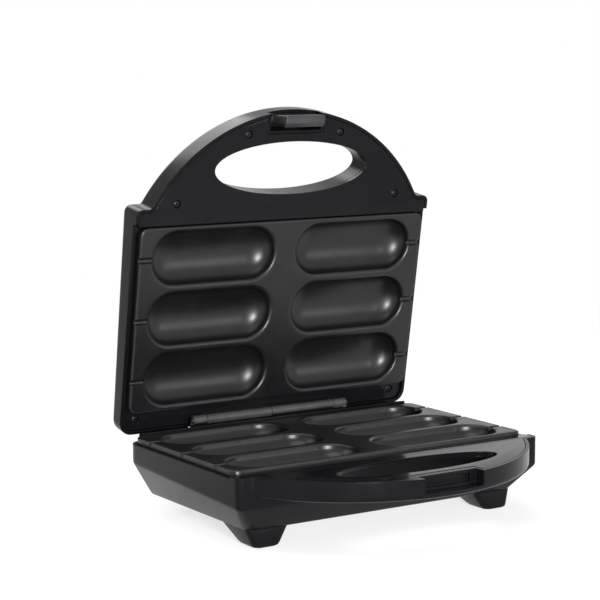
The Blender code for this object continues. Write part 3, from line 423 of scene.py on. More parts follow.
def plateSheets():
    # The face: flat, rounded over into each mould, whose cross-section is an ellipse; under it the web
    # and the moulds' outsides at one wall's thickness; round it the skirt
    p = plate
    top, under, rim = [], [], []
    outer = p["radius"] + p["lip"]
    well = plateHalf - (p["skirtSide"], p["skirtEnd"])
    turn, sink = quarterTurn(p["lipRings"]), quarterTurn(p["mouldRings"])[1:]
    backSink = quarterTurn(p["backRings"])
    radii = np.concatenate([outer - p["lip"] * np.sin(turn), p["radius"] * np.cos(sink)])
    depths = np.concatenate([p["lipDepth"] * (1 - np.cos(turn)),
                             p["lipDepth"] + (p["depth"] - p["lipDepth"]) * np.sin(sink)])
    backR = (p["radius"] + p["wall"]) * np.cos(backSink)
    backZ = p["web"] + (p["depth"] + p["wall"] - p["web"]) * np.sin(backSink)
    share = np.linspace(0, 1, p["flatRings"] + 1)[:-1, None, None]
    for column in (1, -1):
        for row in (-1, 0, 1):
            near, far, spine = cellOutlines(row)
            way = (near - spine) / outer
            flat = far + (near - far) * share
            rings = spine + way * radii[:, None, None]
            plan = np.concatenate([flat, rings])
            depth = np.concatenate([np.zeros(flat.shape[:2]),
                                    np.broadcast_to(depths[:, None], rings.shape[:2])])
            across = np.abs(plan[..., 1] - row * p["rowPitch"])
            groove = np.sqrt(np.maximum(p["grooveRadius"] ** 2 - across ** 2, 0))
            tipSide = plan[..., 0] > p["columnPitch"] / 2 + p["straight"]
            depth = np.maximum(depth, np.where(tipSide, groove, 0))
            top.append(ringSheet(plan, depth, column, column < 0))
            onSide = (np.abs(far) > plateHalf - p["edgeRound"] - rounding).any(-1)
            onCorner = (np.abs(far) > plateHalf - p["cornerRadius"] - rounding).all(-1)
            rim.append(top[-1][0][0][onSide | onCorner])
            backPlan = np.clip(np.concatenate([far[None], spine + way * backR[:, None, None]]), -well, well)
            backDepth = np.broadcast_to(np.concatenate([[p["web"]], backZ])[:, None], backPlan.shape[:2])
            under.append(ringSheet(backPlan, backDepth, column, column > 0))
    return top + under + [skirtSheet(np.concatenate(rim))]


def makePlates():
    # Both plates are one shape, carried to each half
    sheets = plateSheets()
    starts = np.cumsum([0] + [points.size // 3 for points, quads in sheets[:-1]])
    points = np.concatenate([points.reshape(-1, 3) for points, quads in sheets])
    quads = np.concatenate([quads + start for (points, quads), start in zip(sheets, starts)])
    for name, side in sideOfPlate.items():
        cast = newObject(name + "CookingPlate", points, quads.tolist())
        settle(cast, side, name + "_plate", sharp=plate["sharp"], merge=plate["merge"])


makePlates()


# Moulded shells and frames: outlines in plan carried through depths, then cut and joined
print("Moulding the shells")
shell = {
    "sideMargin": 0.004, "frontMargin": 0.0122, "wall": 0.0022, "gap": 0.0003, "over": 0.004,
    "sink": 0.0002, "depth": 0.038, "frontRadius": 0.0045, "flareSide": 0.013, "flareFront": 0.011,
    "flareRadius": 0.008, "rimStep": 0.0027, "soft": 0.0014, "crownInset": 0.030, "pocketSide": 0.002,
    "pocketFront": 0.0015, "pocketFloor": 0.002, "cornerSteps": 8,
}
handle = {
    "gripMargin": 0.0358, "gripLength": 0.1192, "gripWidth": 0.0354, "gripWall": 0.002, "band": 0.0205,
    "rootMargin": 0.0106, "flankLength": 0.0037, "rootRadius": 0.0045, "edge": 0.0035,
    "edgePower": 3, "edgeSteps": 9, "bowSteps": 72, "gripSteps": 112,
}
halves = {
    "base": dict(rim=0.0037, panel=0.0023, wallRear=0.0155, wallFront=0.021, handleDepth=0.015,
                 rearMargin=0.0047, rearRadius=0.013, rearFlare=0.005, crown=0.0, pocketWidth=0.044,
                 pocketBack=0.010, pocketWall=0.0046, pocketDepth=0.0115, screwLedge=0.0173,
                 screwSide=0.0182, screwRear=-0.0056),
    "lid": dict(rim=0.0045, panel=0.0008, wallRear=0.014, wallFront=0.0178, handleDepth=0.0178,
                rearMargin=0.0162, rearRadius=0.009, rearFlare=0.008, crown=0.0015, pocketWidth=0.040,
                pocketBack=0.0131, pocketWall=0.002, pocketDepth=0.0152, screwLedge=0.0148,
                screwSide=0.012, screwRear=0.0067),
}
housingHalf = plateHalf[0] + shell["sideMargin"]
ledgeY = -(plateHalf[1] + shell["frontMargin"])
gripY = -(plateHalf[1] + handle["gripMargin"])
bowY = gripY - handle["gripWidth"] / 2 - handle["band"]
bowRise = ledgeY - bowY
rootSide = housingHalf - handle["rootMargin"]
bowRadius = (rootSide ** 2 + bowRise ** 2 - handle["flankLength"] ** 2) / (2 * bowRise)
flank = math.atan2(rootSide, bowRadius - bowRise) - math.atan2(handle["flankLength"], bowRadius)


def roundedOutline(corners):
    # Closed outline of corners (x, y, radius, steps); each arc touches both of its sides
    spots = np.array([corner[:2] for corner in corners], float)
    parts = []
    for index, here in enumerate(spots):
        radius, steps = corners[index][2:]
        if radius <= 0:
            parts.append(here[None])
            continue
        before, after = spots[index - 1] - here, spots[(index + 1) % len(spots)] - here
        before, after = before / np.linalg.norm(before), after / np.linalg.norm(after)
        half = math.acos(np.clip(before @ after, -1, 1)) / 2
        middle = (before + after) / np.linalg.norm(before + after)
        centre = here + middle * radius / math.sin(half)
        first = here + before * radius / math.tan(half) - centre
        last = here + after * radius / math.tan(half) - centre
        start = math.atan2(first[1], first[0])
        sweep = math.atan2(first[0] * last[1] - first[1] * last[0], first @ last)
        angle = start + sweep * np.linspace(0, 1, steps + 1)
        parts.append(centre + radius * np.stack([np.cos(angle), np.sin(angle)], -1))
    return np.concatenate(parts)


def boxOutline(side, front, back, radius, rearRadius=None):
    rear = radius if rearRadius is None else rearRadius
    steps = shell["cornerSteps"]
    return roundedOutline([(side, front, radius, steps), (side, back, rear, steps),
                           (-side, back, rear, steps), (-side, front, radius, steps)])


def ellipseOutline(x, y, halfX, halfY, steps):
    angle = wholeTurn(steps)
    return np.stack([x + halfX * np.cos(angle), y + halfY * np.sin(angle)], -1)


def bowCorner(inset):
    # Where the two flanks of the D shape would meet, rounded by its large bow
    bow = bowRadius - inset
    return (0, bowY + bowRadius - bow / math.cos(flank), bow, handle["bowSteps"])


def flankX(y, inset):
    return (y - bowCorner(inset)[1]) / math.tan(flank)


def handleOutline(inset, back, sink=0.0):
    # The bow and its flanks, with filleted roots on the ledge
    front = ledgeY + inset + sink
    x = flankX(front, inset)
    side = housingHalf - inset - (shell["frontRadius"] if sink > 0 else 0)
    corner = 0 if sink > 0 else max(shell["frontRadius"] - inset, shell["frontRadius"] / 4)
    root = handle["rootRadius"] + inset
    steps = shell["cornerSteps"]
    return roundedOutline([(side, back, 0, 0), (-side, back, 0, 0), (-side, front, corner, steps),
                           (-x, front, root, steps), bowCorner(inset), (x, front, root, steps),
                           (side, front, corner, steps)])


def gripOutline(extra):
    return ellipseOutline(0, gripY, handle["gripLength"] / 2 + extra, handle["gripWidth"] / 2 + extra,
                          handle["gripSteps"])


def insetOutline(outline, distance):
    # Moves every side of a closed outline inwards by one distance: each point goes along the mean of its
    # sides' normals, by the distance over the cosine of its lean
    along = np.roll(outline, -1, 0) - outline
    along /= np.linalg.norm(along, axis=-1, keepdims=True)
    area = np.sum(outline[:, 0] * np.roll(outline[:, 1], -1) - outline[:, 1] * np.roll(outline[:, 0], -1))
    inward = np.stack([-along[:, 1], along[:, 0]], -1) * np.sign(area)
    both = inward + np.roll(inward, 1, 0)
    both /= np.linalg.norm(both, axis=-1, keepdims=True)
    lean = np.sum(both * inward, -1, keepdims=True)
    return outline + both * distance / np.maximum(lean, meshForm["leastLean"])


def atDepth(outline, depth):
    depths = depth(outline[:, 1]) if callable(depth) else np.full(len(outline), depth)
    return np.concatenate([outline, depths[:, None]], -1)


def loft(name, rings, looped=False):
    # Closed solid through rings of equal count; looped joins the last ring to the first
    rings = np.stack(rings)
    rows, columns = rings.shape[:2]
    faces = gridFaces(rows, columns, closedRows=looped, closedColumns=True).tolist()
    if not looped:
        faces += [list(range(columns)), list(range((rows - 1) * columns, rows * columns))]
    solid = newObject(name, rings, faces)
    mend(solid.data)
    return solid


def slab(name, outline, low, high, soft=0.0):
    # Plate of one outline; soft rounds its two edges by a quarter circle
    if soft <= 0:
        return loft(name, [atDepth(outline, low), atDepth(outline, high)])
    turn = quarterTurn(meshForm["softSteps"])
    insets, drops = soft * (1 - np.sin(turn)), soft * (1 - np.cos(turn))
    first = [atDepth(insetOutline(outline, inset), low + drop) for inset, drop in zip(insets, drops)]
    last = [atDepth(insetOutline(outline, inset), high - drop) for inset, drop in zip(insets, drops)]
    return loft(name, first + last[::-1])


def block(name, side, front, back, low, high):
    # Box from -side to side
    return slab(name, np.array([(-side, front), (side, front), (side, back), (-side, back)]), low, high)


def post(name, x, y, radius, low, high):
    return slab(name, ellipseOutline(x, y, radius, radius, meshForm["postSteps"]), low, high)


def turned(name, profile, origin=(0, 0, 0), axis=(0, 0, 1), steps=meshForm["turnedSteps"], looped=False):
    # Turns a profile of (radius, way along the axis) about an axis in the YZ plane or along X
    axis = np.array(axis, float) / np.linalg.norm(axis)
    first = np.array([0.0, 1.0, 0.0]) if abs(axis[0]) > 0.5 else np.array([1.0, 0.0, 0.0])
    second = np.cross(axis, first)
    angle = wholeTurn(steps)[:, None]
    circle = np.cos(angle) * first + np.sin(angle) * second
    return loft(name, [np.array(origin) + axis * way + circle * radius for radius, way in profile], looped)


def dome(radius, rim, pole, steps, flat=0.0):
    # Profile of a quarter ellipse, from its pole, which stays a little open or flat, out to its rim
    turn = quarterTurn(steps)
    radii = np.maximum(flat + (radius - flat) * np.sin(turn), meshForm["poleRadius"])
    return list(zip(radii, rim + (pole - rim) * np.cos(turn)))


def alongX(name, profile, lowX, highX, soft=0.0):
    # Extrudes a closed (y, depth) profile along X
    bar = slab(name, np.array(profile), lowX, highX, soft)
    bar.data.transform(Matrix(((0, 0, 1, 0), (1, 0, 0, 0), (0, 1, 0, 0), (0, 0, 0, 1))))
    return bar


def crossBar(name, y, depth, radius, lowX, highX):
    return alongX(name, ellipseOutline(y, depth, radius, radius, meshForm["barSteps"]), lowX, highX)


def carve(solid, tools, operation="DIFFERENCE"):
    # Applies each tool in turn and then removes it
    for tool in tools:
        step = solid.modifiers.new(tool.name, "BOOLEAN")
        step.solver = "EXACT"
        step.operation = operation
        step.object = tool
    shaped = bpy.data.meshes.new_from_object(solid.evaluated_get(bpy.context.evaluated_depsgraph_get()))
    solid.modifiers.clear()
    solid.data = shaped
    for tool in tools:
        bpy.data.objects.remove(tool, do_unlink=True)


def shellBody(name, half):
    # Upright walls whose lower edge slopes with Y, a flared underside, the D handle's tub, all hollow
    s, wall, soft = shell, shell["wall"], shell["soft"]
    back = plateHalf[1] + half["rearMargin"]
    top = s["depth"] - half["crown"]

    def brow(y):
        share = (back - y) / (back - ledgeY)
        return half["wallRear"] + (half["wallFront"] - half["wallRear"]) * share

    def walls(inset, radius):
        return boxOutline(housingHalf - inset, ledgeY + inset, back - inset, radius,
                          half["rearRadius"] - inset)

    def under(inset):
        return boxOutline(housingHalf - s["flareSide"] - inset, ledgeY + s["flareFront"] + inset,
                          back - half["rearFlare"] - inset, s["flareRadius"])

    upper, lower = walls(0, s["frontRadius"]), under(0)
    fall = (lower - upper) / (top - brow(upper[:, 1]))[:, None]
    rise = half["crown"] * soft / s["crownInset"]
    bends = np.linspace(0, 1, meshForm["softSteps"])
    rings = [atDepth(upper, half["panel"])]
    for t in bends:
        plan = upper + fall * soft * t * t
        rings.append(np.concatenate([plan, (brow(upper[:, 1]) + soft * (2 * t - 1))[:, None]], -1))
    for t in bends:
        plan = (1 - t) ** 2 * (lower - fall * soft) + 2 * t * (1 - t) * lower + t * t * under(soft)
        rings.append(atDepth(plan, top - soft * (1 - t) ** 2 + rise * t * t))
    if half["crown"] > 0:
        rings.append(atDepth(under(s["crownInset"]), s["depth"]))
    solid = loft(name, rings)
    carve(solid, [block("rimCut", housingHalf + s["over"], -(plateHalf[1] + s["rimStep"]),
                        back + s["over"], -s["over"], half["rim"])])
    tubBack = ledgeY + 2 * wall
    turn = quarterTurn(handle["edgeSteps"])
    power, edge = 2 / handle["edgePower"], handle["edge"]
    tub = [atDepth(handleOutline(0, tubBack, s["sink"]), half["panel"])]
    for inset, lift in zip(edge * (1 - np.cos(turn) ** power), edge * (1 - np.sin(turn) ** power)):
        tub.append(atDepth(handleOutline(inset, tubBack, s["sink"]), half["handleDepth"] - lift))
    carve(solid, [loft("tub", tub)], "UNION")
    inner = walls(wall, s["frontRadius"] / 2)
    hollow = loft("hollow", [atDepth(inner, -s["over"]), atDepth(inner, lambda y: brow(y) - wall / 2),
                             atDepth(under(wall), top - wall)])
    underPanel = half["panel"] + frameForm["panelThickness"] + s["gap"]
    x = flankX(ledgeY, wall + s["sink"])
    bow = roundedOutline([(x, ledgeY, 0, 0), (-x, ledgeY, 0, 0), bowCorner(wall + s["sink"])])
    room = slab("handleRoom", bow, -s["over"], half["handleDepth"] - wall)
    carve(room, [slab("gripTube", gripOutline(handle["gripWall"]), underPanel, s["depth"])])
    bed = slab("panelBed", handleOutline(wall, frameFrontY), -s["over"], underPanel)
    carve(solid, [hollow, room, bed])
    return solid


frameForm = {
    "panelThickness": 0.0024, "ringTop": 0.0065, "ringThickness": 0.0025, "frontWeb": 0.0024,
    "plateGap": 0.0008, "windowGap": 0.0004, "soft": 0.0004,
}
frameFrontY = -(plateHalf[1] + frameForm["plateGap"])
ringBack = frameForm["ringTop"] + frameForm["ringThickness"]
hingeForm = {
    "margin": 0.0108, "height": 0.0035, "radius": 0.0034, "length": 0.0505, "endLength": 0.01025,
    "gap": 0.0005, "web": 0.0031, "rod": 0.0016, "headRadius": 0.0027, "headLength": 0.0015,
    "headSteps": 6, "tail": 0.0022, "tipShare": 0.3, "clipRadius": 0.0031, "clipThickness": 0.0008,
    "leaf": 0.0027, "upright": 0.0016, "rimGap": 0.0004, "notchSide": 0.0015, "stopGap": 0.00015,
    "wallTop": -0.0013, "barrelReach": 1.02,
}
hingeY = plateHalf[1] + hingeForm["margin"]
lidKnuckleDepth = hingeForm["height"] - closedGap
rowStart = hingeForm["gap"] / 2
rowMiddle = rowStart + hingeForm["length"] + hingeForm["gap"]
rowEnd = rowMiddle + hingeForm["endLength"]
boss = {
    "radius": 0.003, "hole": 0.0015, "wellRadius": 0.0027, "wellWall": 0.0014, "sinkRadius": 0.0028,
    "sinkDepth": 0.0016, "screwLength": 0.009, "bite": 0.0036, "handleLength": 0.003,
    "cornerLength": 0.013, "lidCornerMargin": 0.0135, "gripInset": 0.0237, "gripGap": 0.0054,
    "ledgeSide": 0.0291, "plateMargin": 0.004, "shieldSide": 0.036, "shieldBack": 0.030,
    "shieldDepth": 0.0236, "postRoof": 0.0011,
}


def pieceName(node):
    first, *rest = node.split("_")
    return first + "".join(word.capitalize() for word in rest)


def screwPlaces(side):
    # Whether rear, place and head's seat of each screw that ties a side's frame to its shell
    half, b = halves[side], boss
    grip = (handle["gripLength"] / 2 - b["gripInset"], gripY - handle["gripWidth"] / 2 - b["gripGap"])
    ledge = (housingHalf - b["ledgeSide"], -(plateHalf[1] + half["screwLedge"]))
    corner = (housingHalf - half["screwSide"], plateHalf[1] + half["screwRear"])
    if side == "lid":
        front, rear = half["panel"] + b["sinkDepth"], frameForm["ringTop"] + b["sinkDepth"]
    else:
        reach = b["screwLength"] - b["bite"]
        front = half["panel"] + frameForm["panelThickness"] + b["handleLength"] + reach
        rear = ringBack + b["cornerLength"] + reach
    places = [(False, hand * x, y, front) for hand in hands for x, y in (grip, ledge)]
    return places + [(True, hand * corner[0], corner[1], rear) for hand in hands]


def gripHole():
    return slab("gripHole", gripOutline(0), -shell["over"], shell["depth"])


def startShell(side):
    # A shell's body, how deep its inside is, and what joins it: pocket walls and the shield's posts
    half, s = halves[side], shell
    solid = shellBody(side + "Shell", half)
    inside = s["depth"] - half["crown"] - s["wall"]
    width = half["pocketWidth"] / 2 + s["pocketSide"]
    front = bowY + bowRadius - math.sqrt(bowRadius ** 2 - width ** 2) + s["pocketFront"]
    joined = [block("pocketBlock", width, front, bowY + half["pocketBack"] + half["pocketWall"],
                    half["panel"] + s["sink"], half["pocketDepth"] + s["pocketFloor"])]
    joined += [post("shieldPost", x * boss["shieldSide"], y * boss["shieldBack"], boss["radius"],
                    boss["shieldDepth"], inside + boss["postRoof"]) for x in hands for y in ends]
    return solid, inside, joined


def makeLidShell():
    # The lid's housing: notched for the hinge, with its screw bosses, latch pocket and lens holes
    half, s = halves["lid"], shell
    solid, inside, joined = startShell("lid")
    back = plateHalf[1] + half["rearMargin"]
    cuts = [block("hingeNotch", rowEnd + hingeForm["notchSide"], back - 2 * s["wall"], back + s["over"],
                  -s["over"], lidKnuckleDepth + hingeForm["web"] + hingeForm["stopGap"])]
    for rear, x, y, seat in screwPlaces("lid"):
        top = ringBack if rear else half["panel"] + frameForm["panelThickness"]
        end = s["depth"] - boss["lidCornerMargin"] if rear else half["handleDepth"] - s["wall"] / 2
        joined.append(post("boss", x, y, boss["radius"], top + s["gap"], end))
        cuts.append(post("pilot", x, y, boss["hole"], top - s["over"] / 4,
                         seat + boss["screwLength"] + s["gap"]))
    carve(solid, joined, "UNION")
    x, pocketBack = half["pocketWidth"] / 2, bowY + half["pocketBack"]
    cuts += [block("pocket", x, bowY + s["wall"], pocketBack, -s["over"], half["pocketDepth"]),
             block("pocketMouth", x, bowY - s["over"], pocketBack - s["wall"], -s["over"], latch["mouth"]),
             crossBar("pinHoles", latchY, latch["pivotDepth"], latch["pin"] + s["gap"],
                      -x - s["pocketSide"], x + s["pocketSide"])]
    seat = s["depth"] - lens["flangeHeight"] - s["gap"]
    neck, flange = lens["neck"] + s["gap"], lens["flange"] + s["gap"]
    profile = [(neck, inside - s["over"]), (neck, seat), (flange, seat), (flange, s["depth"] + s["over"])]
    cuts += [turned("lensHole", profile, (hand * lens["side"], -lens["front"], 0)) for hand in hands]
    carve(solid, cuts + [gripHole()])
    settle(solid, "lid", "lid_cover")


def footEdges(margin, width, front, length):
    # Inner, outer, front and back edge of a foot
    outer = housingHalf - margin
    return np.array([outer - width, outer, front, front + length])


def makeFoot(place, hand):
    # A foot that tapers from its root and draws in at its lower edge, the socket in it, and its pad
    f, s = feet, shell
    top, start = s["depth"] - f["rootSink"], f["levelShares"][1]
    rings = []
    for t in f["levelShares"]:
        bend = max(0, (t - start) / (1 - start))
        shrink = f["soft"] * (1 - math.sqrt(1 - bend ** 2))
        edges = place["root"] * (1 - t) + place["bottom"] * t
        inner, outer, front, back = edges + np.array([1, -1, 1, -1]) * shrink
        outline = boxOutline((outer - inner) / 2, front, back, f["corner"])
        outline[:, 0] += hand * (inner + outer) / 2
        rings.append(atDepth(outline, top + (footBottom - top) * t))
    inner, outer, front, back = place["bottom"]
    x, y = hand * (inner + outer) / 2, (front + back) / 2
    makePad(f"{place['name']}_{hands[hand]}", x, y)
    return loft("foot", rings), post("socket", x, y, f["padRadius"] + s["gap"],
                                     plateFace - f["padHeight"] - s["gap"], footBottom + s["over"])


def makeBaseShell():
    # The base's housing: wells for its screws, feet, cooling slots, and the recess and catch of the latch
    half, s = halves["base"], shell
    solid, inside, joined = startShell("base")
    cuts = []
    for rear, x, y, seat in screwPlaces("base"):
        skin = s["depth"] if rear else half["handleDepth"]
        split = seat - boss["screwLength"] + boss["bite"]
        joined.append(post("wellWall", x, y, boss["wellRadius"] + boss["wellWall"], split + s["gap"],
                           skin - s["wall"] / 2))
        cuts += [post("well", x, y, boss["wellRadius"], seat, skin + s["over"]),
                 post("through", x, y, boss["hole"], split, seat + s["gap"])]
    for hand in hands:
        for place in feet["places"]:
            foot, socket = makeFoot(place, hand)
            joined.append(foot)
            cuts.append(socket)
    carve(solid, joined, "UNION")
    slot = boxOutline(vent["length"] / 2, -vent["width"] / 2, vent["width"] / 2,
                      vent["width"] * vent["endShare"])
    for hand in hands:
        for row in range(-vent["rows"], vent["rows"] + 1):
            place = (hand * (housingHalf - vent["sideMargin"]), row * vent["pitch"])
            cuts.append(slab("vent", slot + place, inside - s["over"], s["depth"] + s["over"]))
    x, pocketBack = half["pocketWidth"] / 2, bowY + half["pocketBack"]
    catchTop = half["panel"] + latch["catchLedge"]
    hole = gland["neck"] + s["gap"]
    cuts += [block("recess", x, bowY - s["over"], pocketBack, -s["over"], half["pocketDepth"]),
             block("catch", latch["width"] / 2 + latch["catchGap"], pocketBack - s["over"] / 2,
                   pocketBack + latch["catchDepth"], catchTop, catchTop + latch["catchHeight"]),
             gripHole(),
             turned("glandHole", [(hole, -s["over"]), (hole, s["over"])], glandPlace, glandAxis)]
    carve(solid, cuts)
    settle(solid, "base", "base_housing")


def hingeRow(side, back, ring):
    # Webs and knuckles of one side, with the wall behind the base's plate, and how deep the knuckles lie
    s, h = shell, hingeForm
    front, rear = hingeY - h["web"], hingeY + h["web"]
    knuckleEnd = rowStart + h["length"]
    if side == "base":
        spans, depth = ((-rowEnd, -rowMiddle), (rowStart, knuckleEnd)), -h["height"]
        low, inside = halves["base"]["rim"] - h["rimGap"], back - h["upright"]
        web = [(inside, ringBack), (inside, low - h["leaf"]), (front, low - h["leaf"]), (front, depth),
               (rear, depth), (rear, low), (back, low), (back, ringBack)]
        # The wall, and a shelf under the barrel, stay a hair inside the faces that they meet
        hair = s["gap"] / 2
        wall = slab("rearWall", insetOutline(ring, hair), h["wallTop"], ringBack - s["gap"])
        carve(wall, [block("inFront", housingHalf, ledgeY - s["over"], inside, h["wallTop"] - s["over"],
                           ringBack)])
        joined = [wall, block("shelf", rowEnd - hair, back - h["upright"] / 2, rear - hair,
                              low - h["leaf"] + hair, low - hair)]
    else:
        spans, depth = ((-knuckleEnd, -rowStart), (rowMiddle, rowEnd)), lidKnuckleDepth
        web = [(front, depth), (rear, depth), (rear, ringBack), (front, ringBack)]
        joined = []
    for start, end in spans:
        joined += [alongX("web", web, start, end),
                   crossBar("knuckle", hingeY, depth, h["radius"], start, end)]
    return joined, depth


def mattBarrelWithPaintedLight(mesh):
    # The hinge's barrel is matt, and its grey is painted lighter than the frame's own plastic, as painted
    # light for the light its top catches: faces within its radius of the axis
    mesh.materials.append(madeOf["barrelPlastic"])
    centres = np.zeros(len(mesh.polygons) * 3)
    mesh.polygons.foreach_get("center", centres)
    away = np.linalg.norm(centres.reshape(-1, 3)[:, 1:] - hinge[1:], axis=-1)
    onBarrel = away < hingeForm["radius"] * hingeForm["barrelReach"]
    mesh.polygons.foreach_set("material_index", onBarrel.astype(int))


def makeFrame(side):
    # The handle's face panel, the window ring under the plate, the step between them and the hinge's row
    half, s, f = halves[side], shell, frameForm
    inset = s["wall"] + s["gap"]
    back = plateHalf[1] + half["rearMargin"] - inset
    edge, stepFront = housingHalf - inset, frameFrontY - f["frontWeb"]
    panelBack = half["panel"] + f["panelThickness"]
    solid = slab(side + "InnerFrame", handleOutline(inset, frameFrontY), half["panel"], panelBack, f["soft"])
    ring = boxOutline(edge, stepFront, back, s["frontRadius"], half["rearRadius"] - inset)
    row, knuckleDepth = hingeRow(side, back, ring)
    joined = [slab("ring", ring, f["ringTop"], ringBack),
              block("step", edge, stepFront, frameFrontY, panelBack - f["panelThickness"] / 2, ringBack),
              *row]
    # The window clears the moulds where they pass the ring's top
    deep = plate["depth"] + plate["wall"]
    share = (f["ringTop"] - plate["web"] / 2) / (deep - plate["web"] / 2)
    reach = (plate["radius"] + plate["wall"]) * math.sqrt(1 - share ** 2) + f["windowGap"]
    windowX = plate["columnPitch"] / 2 + plate["straight"] + reach
    windowY = plate["rowPitch"] + reach
    cuts = [slab("window", boxOutline(windowX, -windowY, windowY, reach), f["ringTop"] - s["over"] / 4,
                 ringBack + s["over"]),
            crossBar("rodBore", hingeY, knuckleDepth, hingeForm["rod"] + s["gap"], -housingHalf,
                     housingHalf)]
    cuts += [post("plateHole", x * plateScrewX, y * plateScrewY, boss["hole"], f["ringTop"] - s["over"],
                  ringBack + s["over"]) for x in hands for y in ends]
    for rear, x, y, seat in screwPlaces(side):
        top, low = (f["ringTop"], ringBack) if rear else (half["panel"], panelBack)
        if side == "lid":
            cuts += [post("sink", x, y, boss["sinkRadius"], top - s["over"], seat),
                     post("through", x, y, boss["hole"], top, low + s["over"])]
        else:
            split = seat - boss["screwLength"] + boss["bite"]
            joined.append(post("boss", x, y, boss["radius"], low - f["ringThickness"] / 2, split))
            cuts.append(post("pilot", x, y, boss["hole"], split - boss["bite"] - s["gap"],
                             split + s["over"]))
    x = half["pocketWidth"] / 2 + s["pocketSide"] + s["gap"]
    cuts += [block("notch", x, bowY - s["over"], bowY + half["pocketBack"] + half["pocketWall"] + s["gap"],
                   -s["over"], ringBack),
             gripHole()]
    carve(solid, joined, "UNION")
    carve(solid, cuts)
    settle(solid, side, side + "_frame")
    mattBarrelWithPaintedLight(solid.data)


def makeHingeRod():
    # A round rod along X with a domed head at one end, and at the other the clip that holds it
    h = hingeForm
    head, start = -rowEnd - shell["gap"], rowEnd + shell["gap"]
    tail = rowEnd + h["clipThickness"] + h["tail"]
    profile = dome(h["headRadius"], head, head - h["headLength"], h["headSteps"])
    profile += [(h["headRadius"], head), (h["rod"], head), (h["rod"], tail - h["rod"] * h["tipShare"]),
                (h["rod"] * (1 - h["tipShare"]), tail)]
    origin, axis = (0, hingeY, -h["height"]), (1, 0, 0)
    settle(turned("hingeRod", profile, origin, axis), "base", "hinge_rod", finish="blackSteel")
    hole, end = h["rod"] + shell["gap"], start + h["clipThickness"]
    ring = [(h["clipRadius"], start), (h["clipRadius"], end), (hole, end), (hole, start)]
    settle(turned("rodClip", ring, origin, axis, looped=True), "base", "hinge_rod_clip",
           finish="blackSteel")


# Latch: a lever on a pin in the lid, whose hook reaches under a ledge in the base
latch = {
    "pivotMargin": 0.0063, "pivotDepth": 0.010, "hub": 0.0034, "hubLength": 0.039, "width": 0.030,
    "top": 0.0036, "outer": 0.002, "inner": 0.0033, "leg": 0.0203, "hookReach": 0.0024,
    "hookHeight": 0.0041, "hookFlat": 0.002, "pin": 0.0012, "rest": 9.5, "soft": 0.0006,
    "endShare": 0.8, "steps": 4, "mouth": 0.0064, "catchLedge": 0.0024, "catchDepth": 0.0026,
    "catchHeight": 0.0056, "catchGap": 0.0025,
}
latchY = bowY + latch["pivotMargin"]


def latchToLid(points):
    # (x, y, depth) about the pin, turned by the latch's rest angle, to the lid's own depths
    x, y, depth = points.T
    y, depth = swung(y, depth, math.radians(latch["rest"]))
    return toLid(np.stack([x, latchY + y, latch["pivotDepth"] + depth], -1))


def makeLatch():
    # A profile of rounded corners (y, depth) along X, with a round hub, and the pin through it
    f = latch
    hook, tip, soft = f["inner"] + f["hookReach"], -f["leg"], f["soft"]
    hookTop = tip + f["hookHeight"]
    corners = [(-f["outer"], tip, soft), (f["inner"], tip, soft), (hook, hookTop - f["hookFlat"], soft),
               (hook, hookTop, soft), (f["inner"], hookTop, soft / 2), (f["inner"], f["top"] / 2, soft),
               (f["inner"] / 2, f["top"], soft), (-f["outer"], f["top"], soft)]
    lever = alongX("latchLever", roundedOutline([(*corner, f["steps"]) for corner in corners]),
                   -f["width"] / 2, f["width"] / 2, soft * f["endShare"])
    carve(lever, [crossBar("hub", 0, 0, f["hub"], -f["hubLength"] / 2, f["hubLength"] / 2)], "UNION")
    carve(lever, [crossBar("pinBore", 0, 0, f["pin"] + shell["gap"], -f["hubLength"], f["hubLength"])])
    settle(lever, "latch", "latch", latchToLid)
    end = halves["lid"]["pocketWidth"] / 2 + shell["pocketSide"] - shell["gap"]
    settle(crossBar("latchPin", latchY, f["pivotDepth"], f["pin"], -end, end), "lid", "latch_pin")


# Screws: domed heads with a cross recess, a shank with a short point
screwForm = {
    "head": 0.0024, "height": 0.0012, "flat": 0.0004, "brimShare": 0.35, "shank": 0.0012,
    "point": 0.0025, "long": 0.009, "short": 0.006, "cross": 0.0026, "slot": 0.00055, "recess": 0.0007,
    "slotStep": 0.00005, "domeSteps": 7,
}
plateScrewX = plateHalf[0] - boss["plateMargin"]
plateScrewY = plate["rowPitch"] / 2


def makeScrew(node, side, x, y, seat, length, sense):
    # Sense 1 drives the screw in from the plate's face, and -1 from the other side
    f, over = screwForm, shell["over"]
    profile = dome(f["head"], -f["height"] * f["brimShare"], -f["height"], f["domeSteps"], f["flat"])
    profile += [(f["head"], 0), (f["shank"], 0), (f["shank"], length - f["point"]),
                (f["shank"] / 4, length)]
    screw = turned(pieceName(node), profile, steps=meshForm["postSteps"])
    size, slot, floor = f["cross"] / 2, f["slot"] / 2, f["recess"] - f["height"]
    carve(screw, [block("slot", size, -slot, slot, -over, floor),
                  block("slot", slot, -size, size, -over, floor - f["slotStep"])])
    place = (x, y, seat - sense * shell["gap"])
    settle(screw, side, node, lambda points: carryOf[side](points * (1, 1, sense) + place))


def makeScrews():
    for side in halves:
        for count, place in enumerate(screwPlaces(side), 1):
            makeScrew(f"{side}_screw_{count}", side, *place[1:], screwForm["long"],
                      1 if side == "lid" else -1)
    for name, side in sideOfPlate.items():
        for x, hand in hands.items():
            for y, end in ends.items():
                makeScrew(f"{name}_plate_screw_{hand}_{end}", side, x * plateScrewX, y * plateScrewY,
                          ringBack, screwForm["short"], -1)


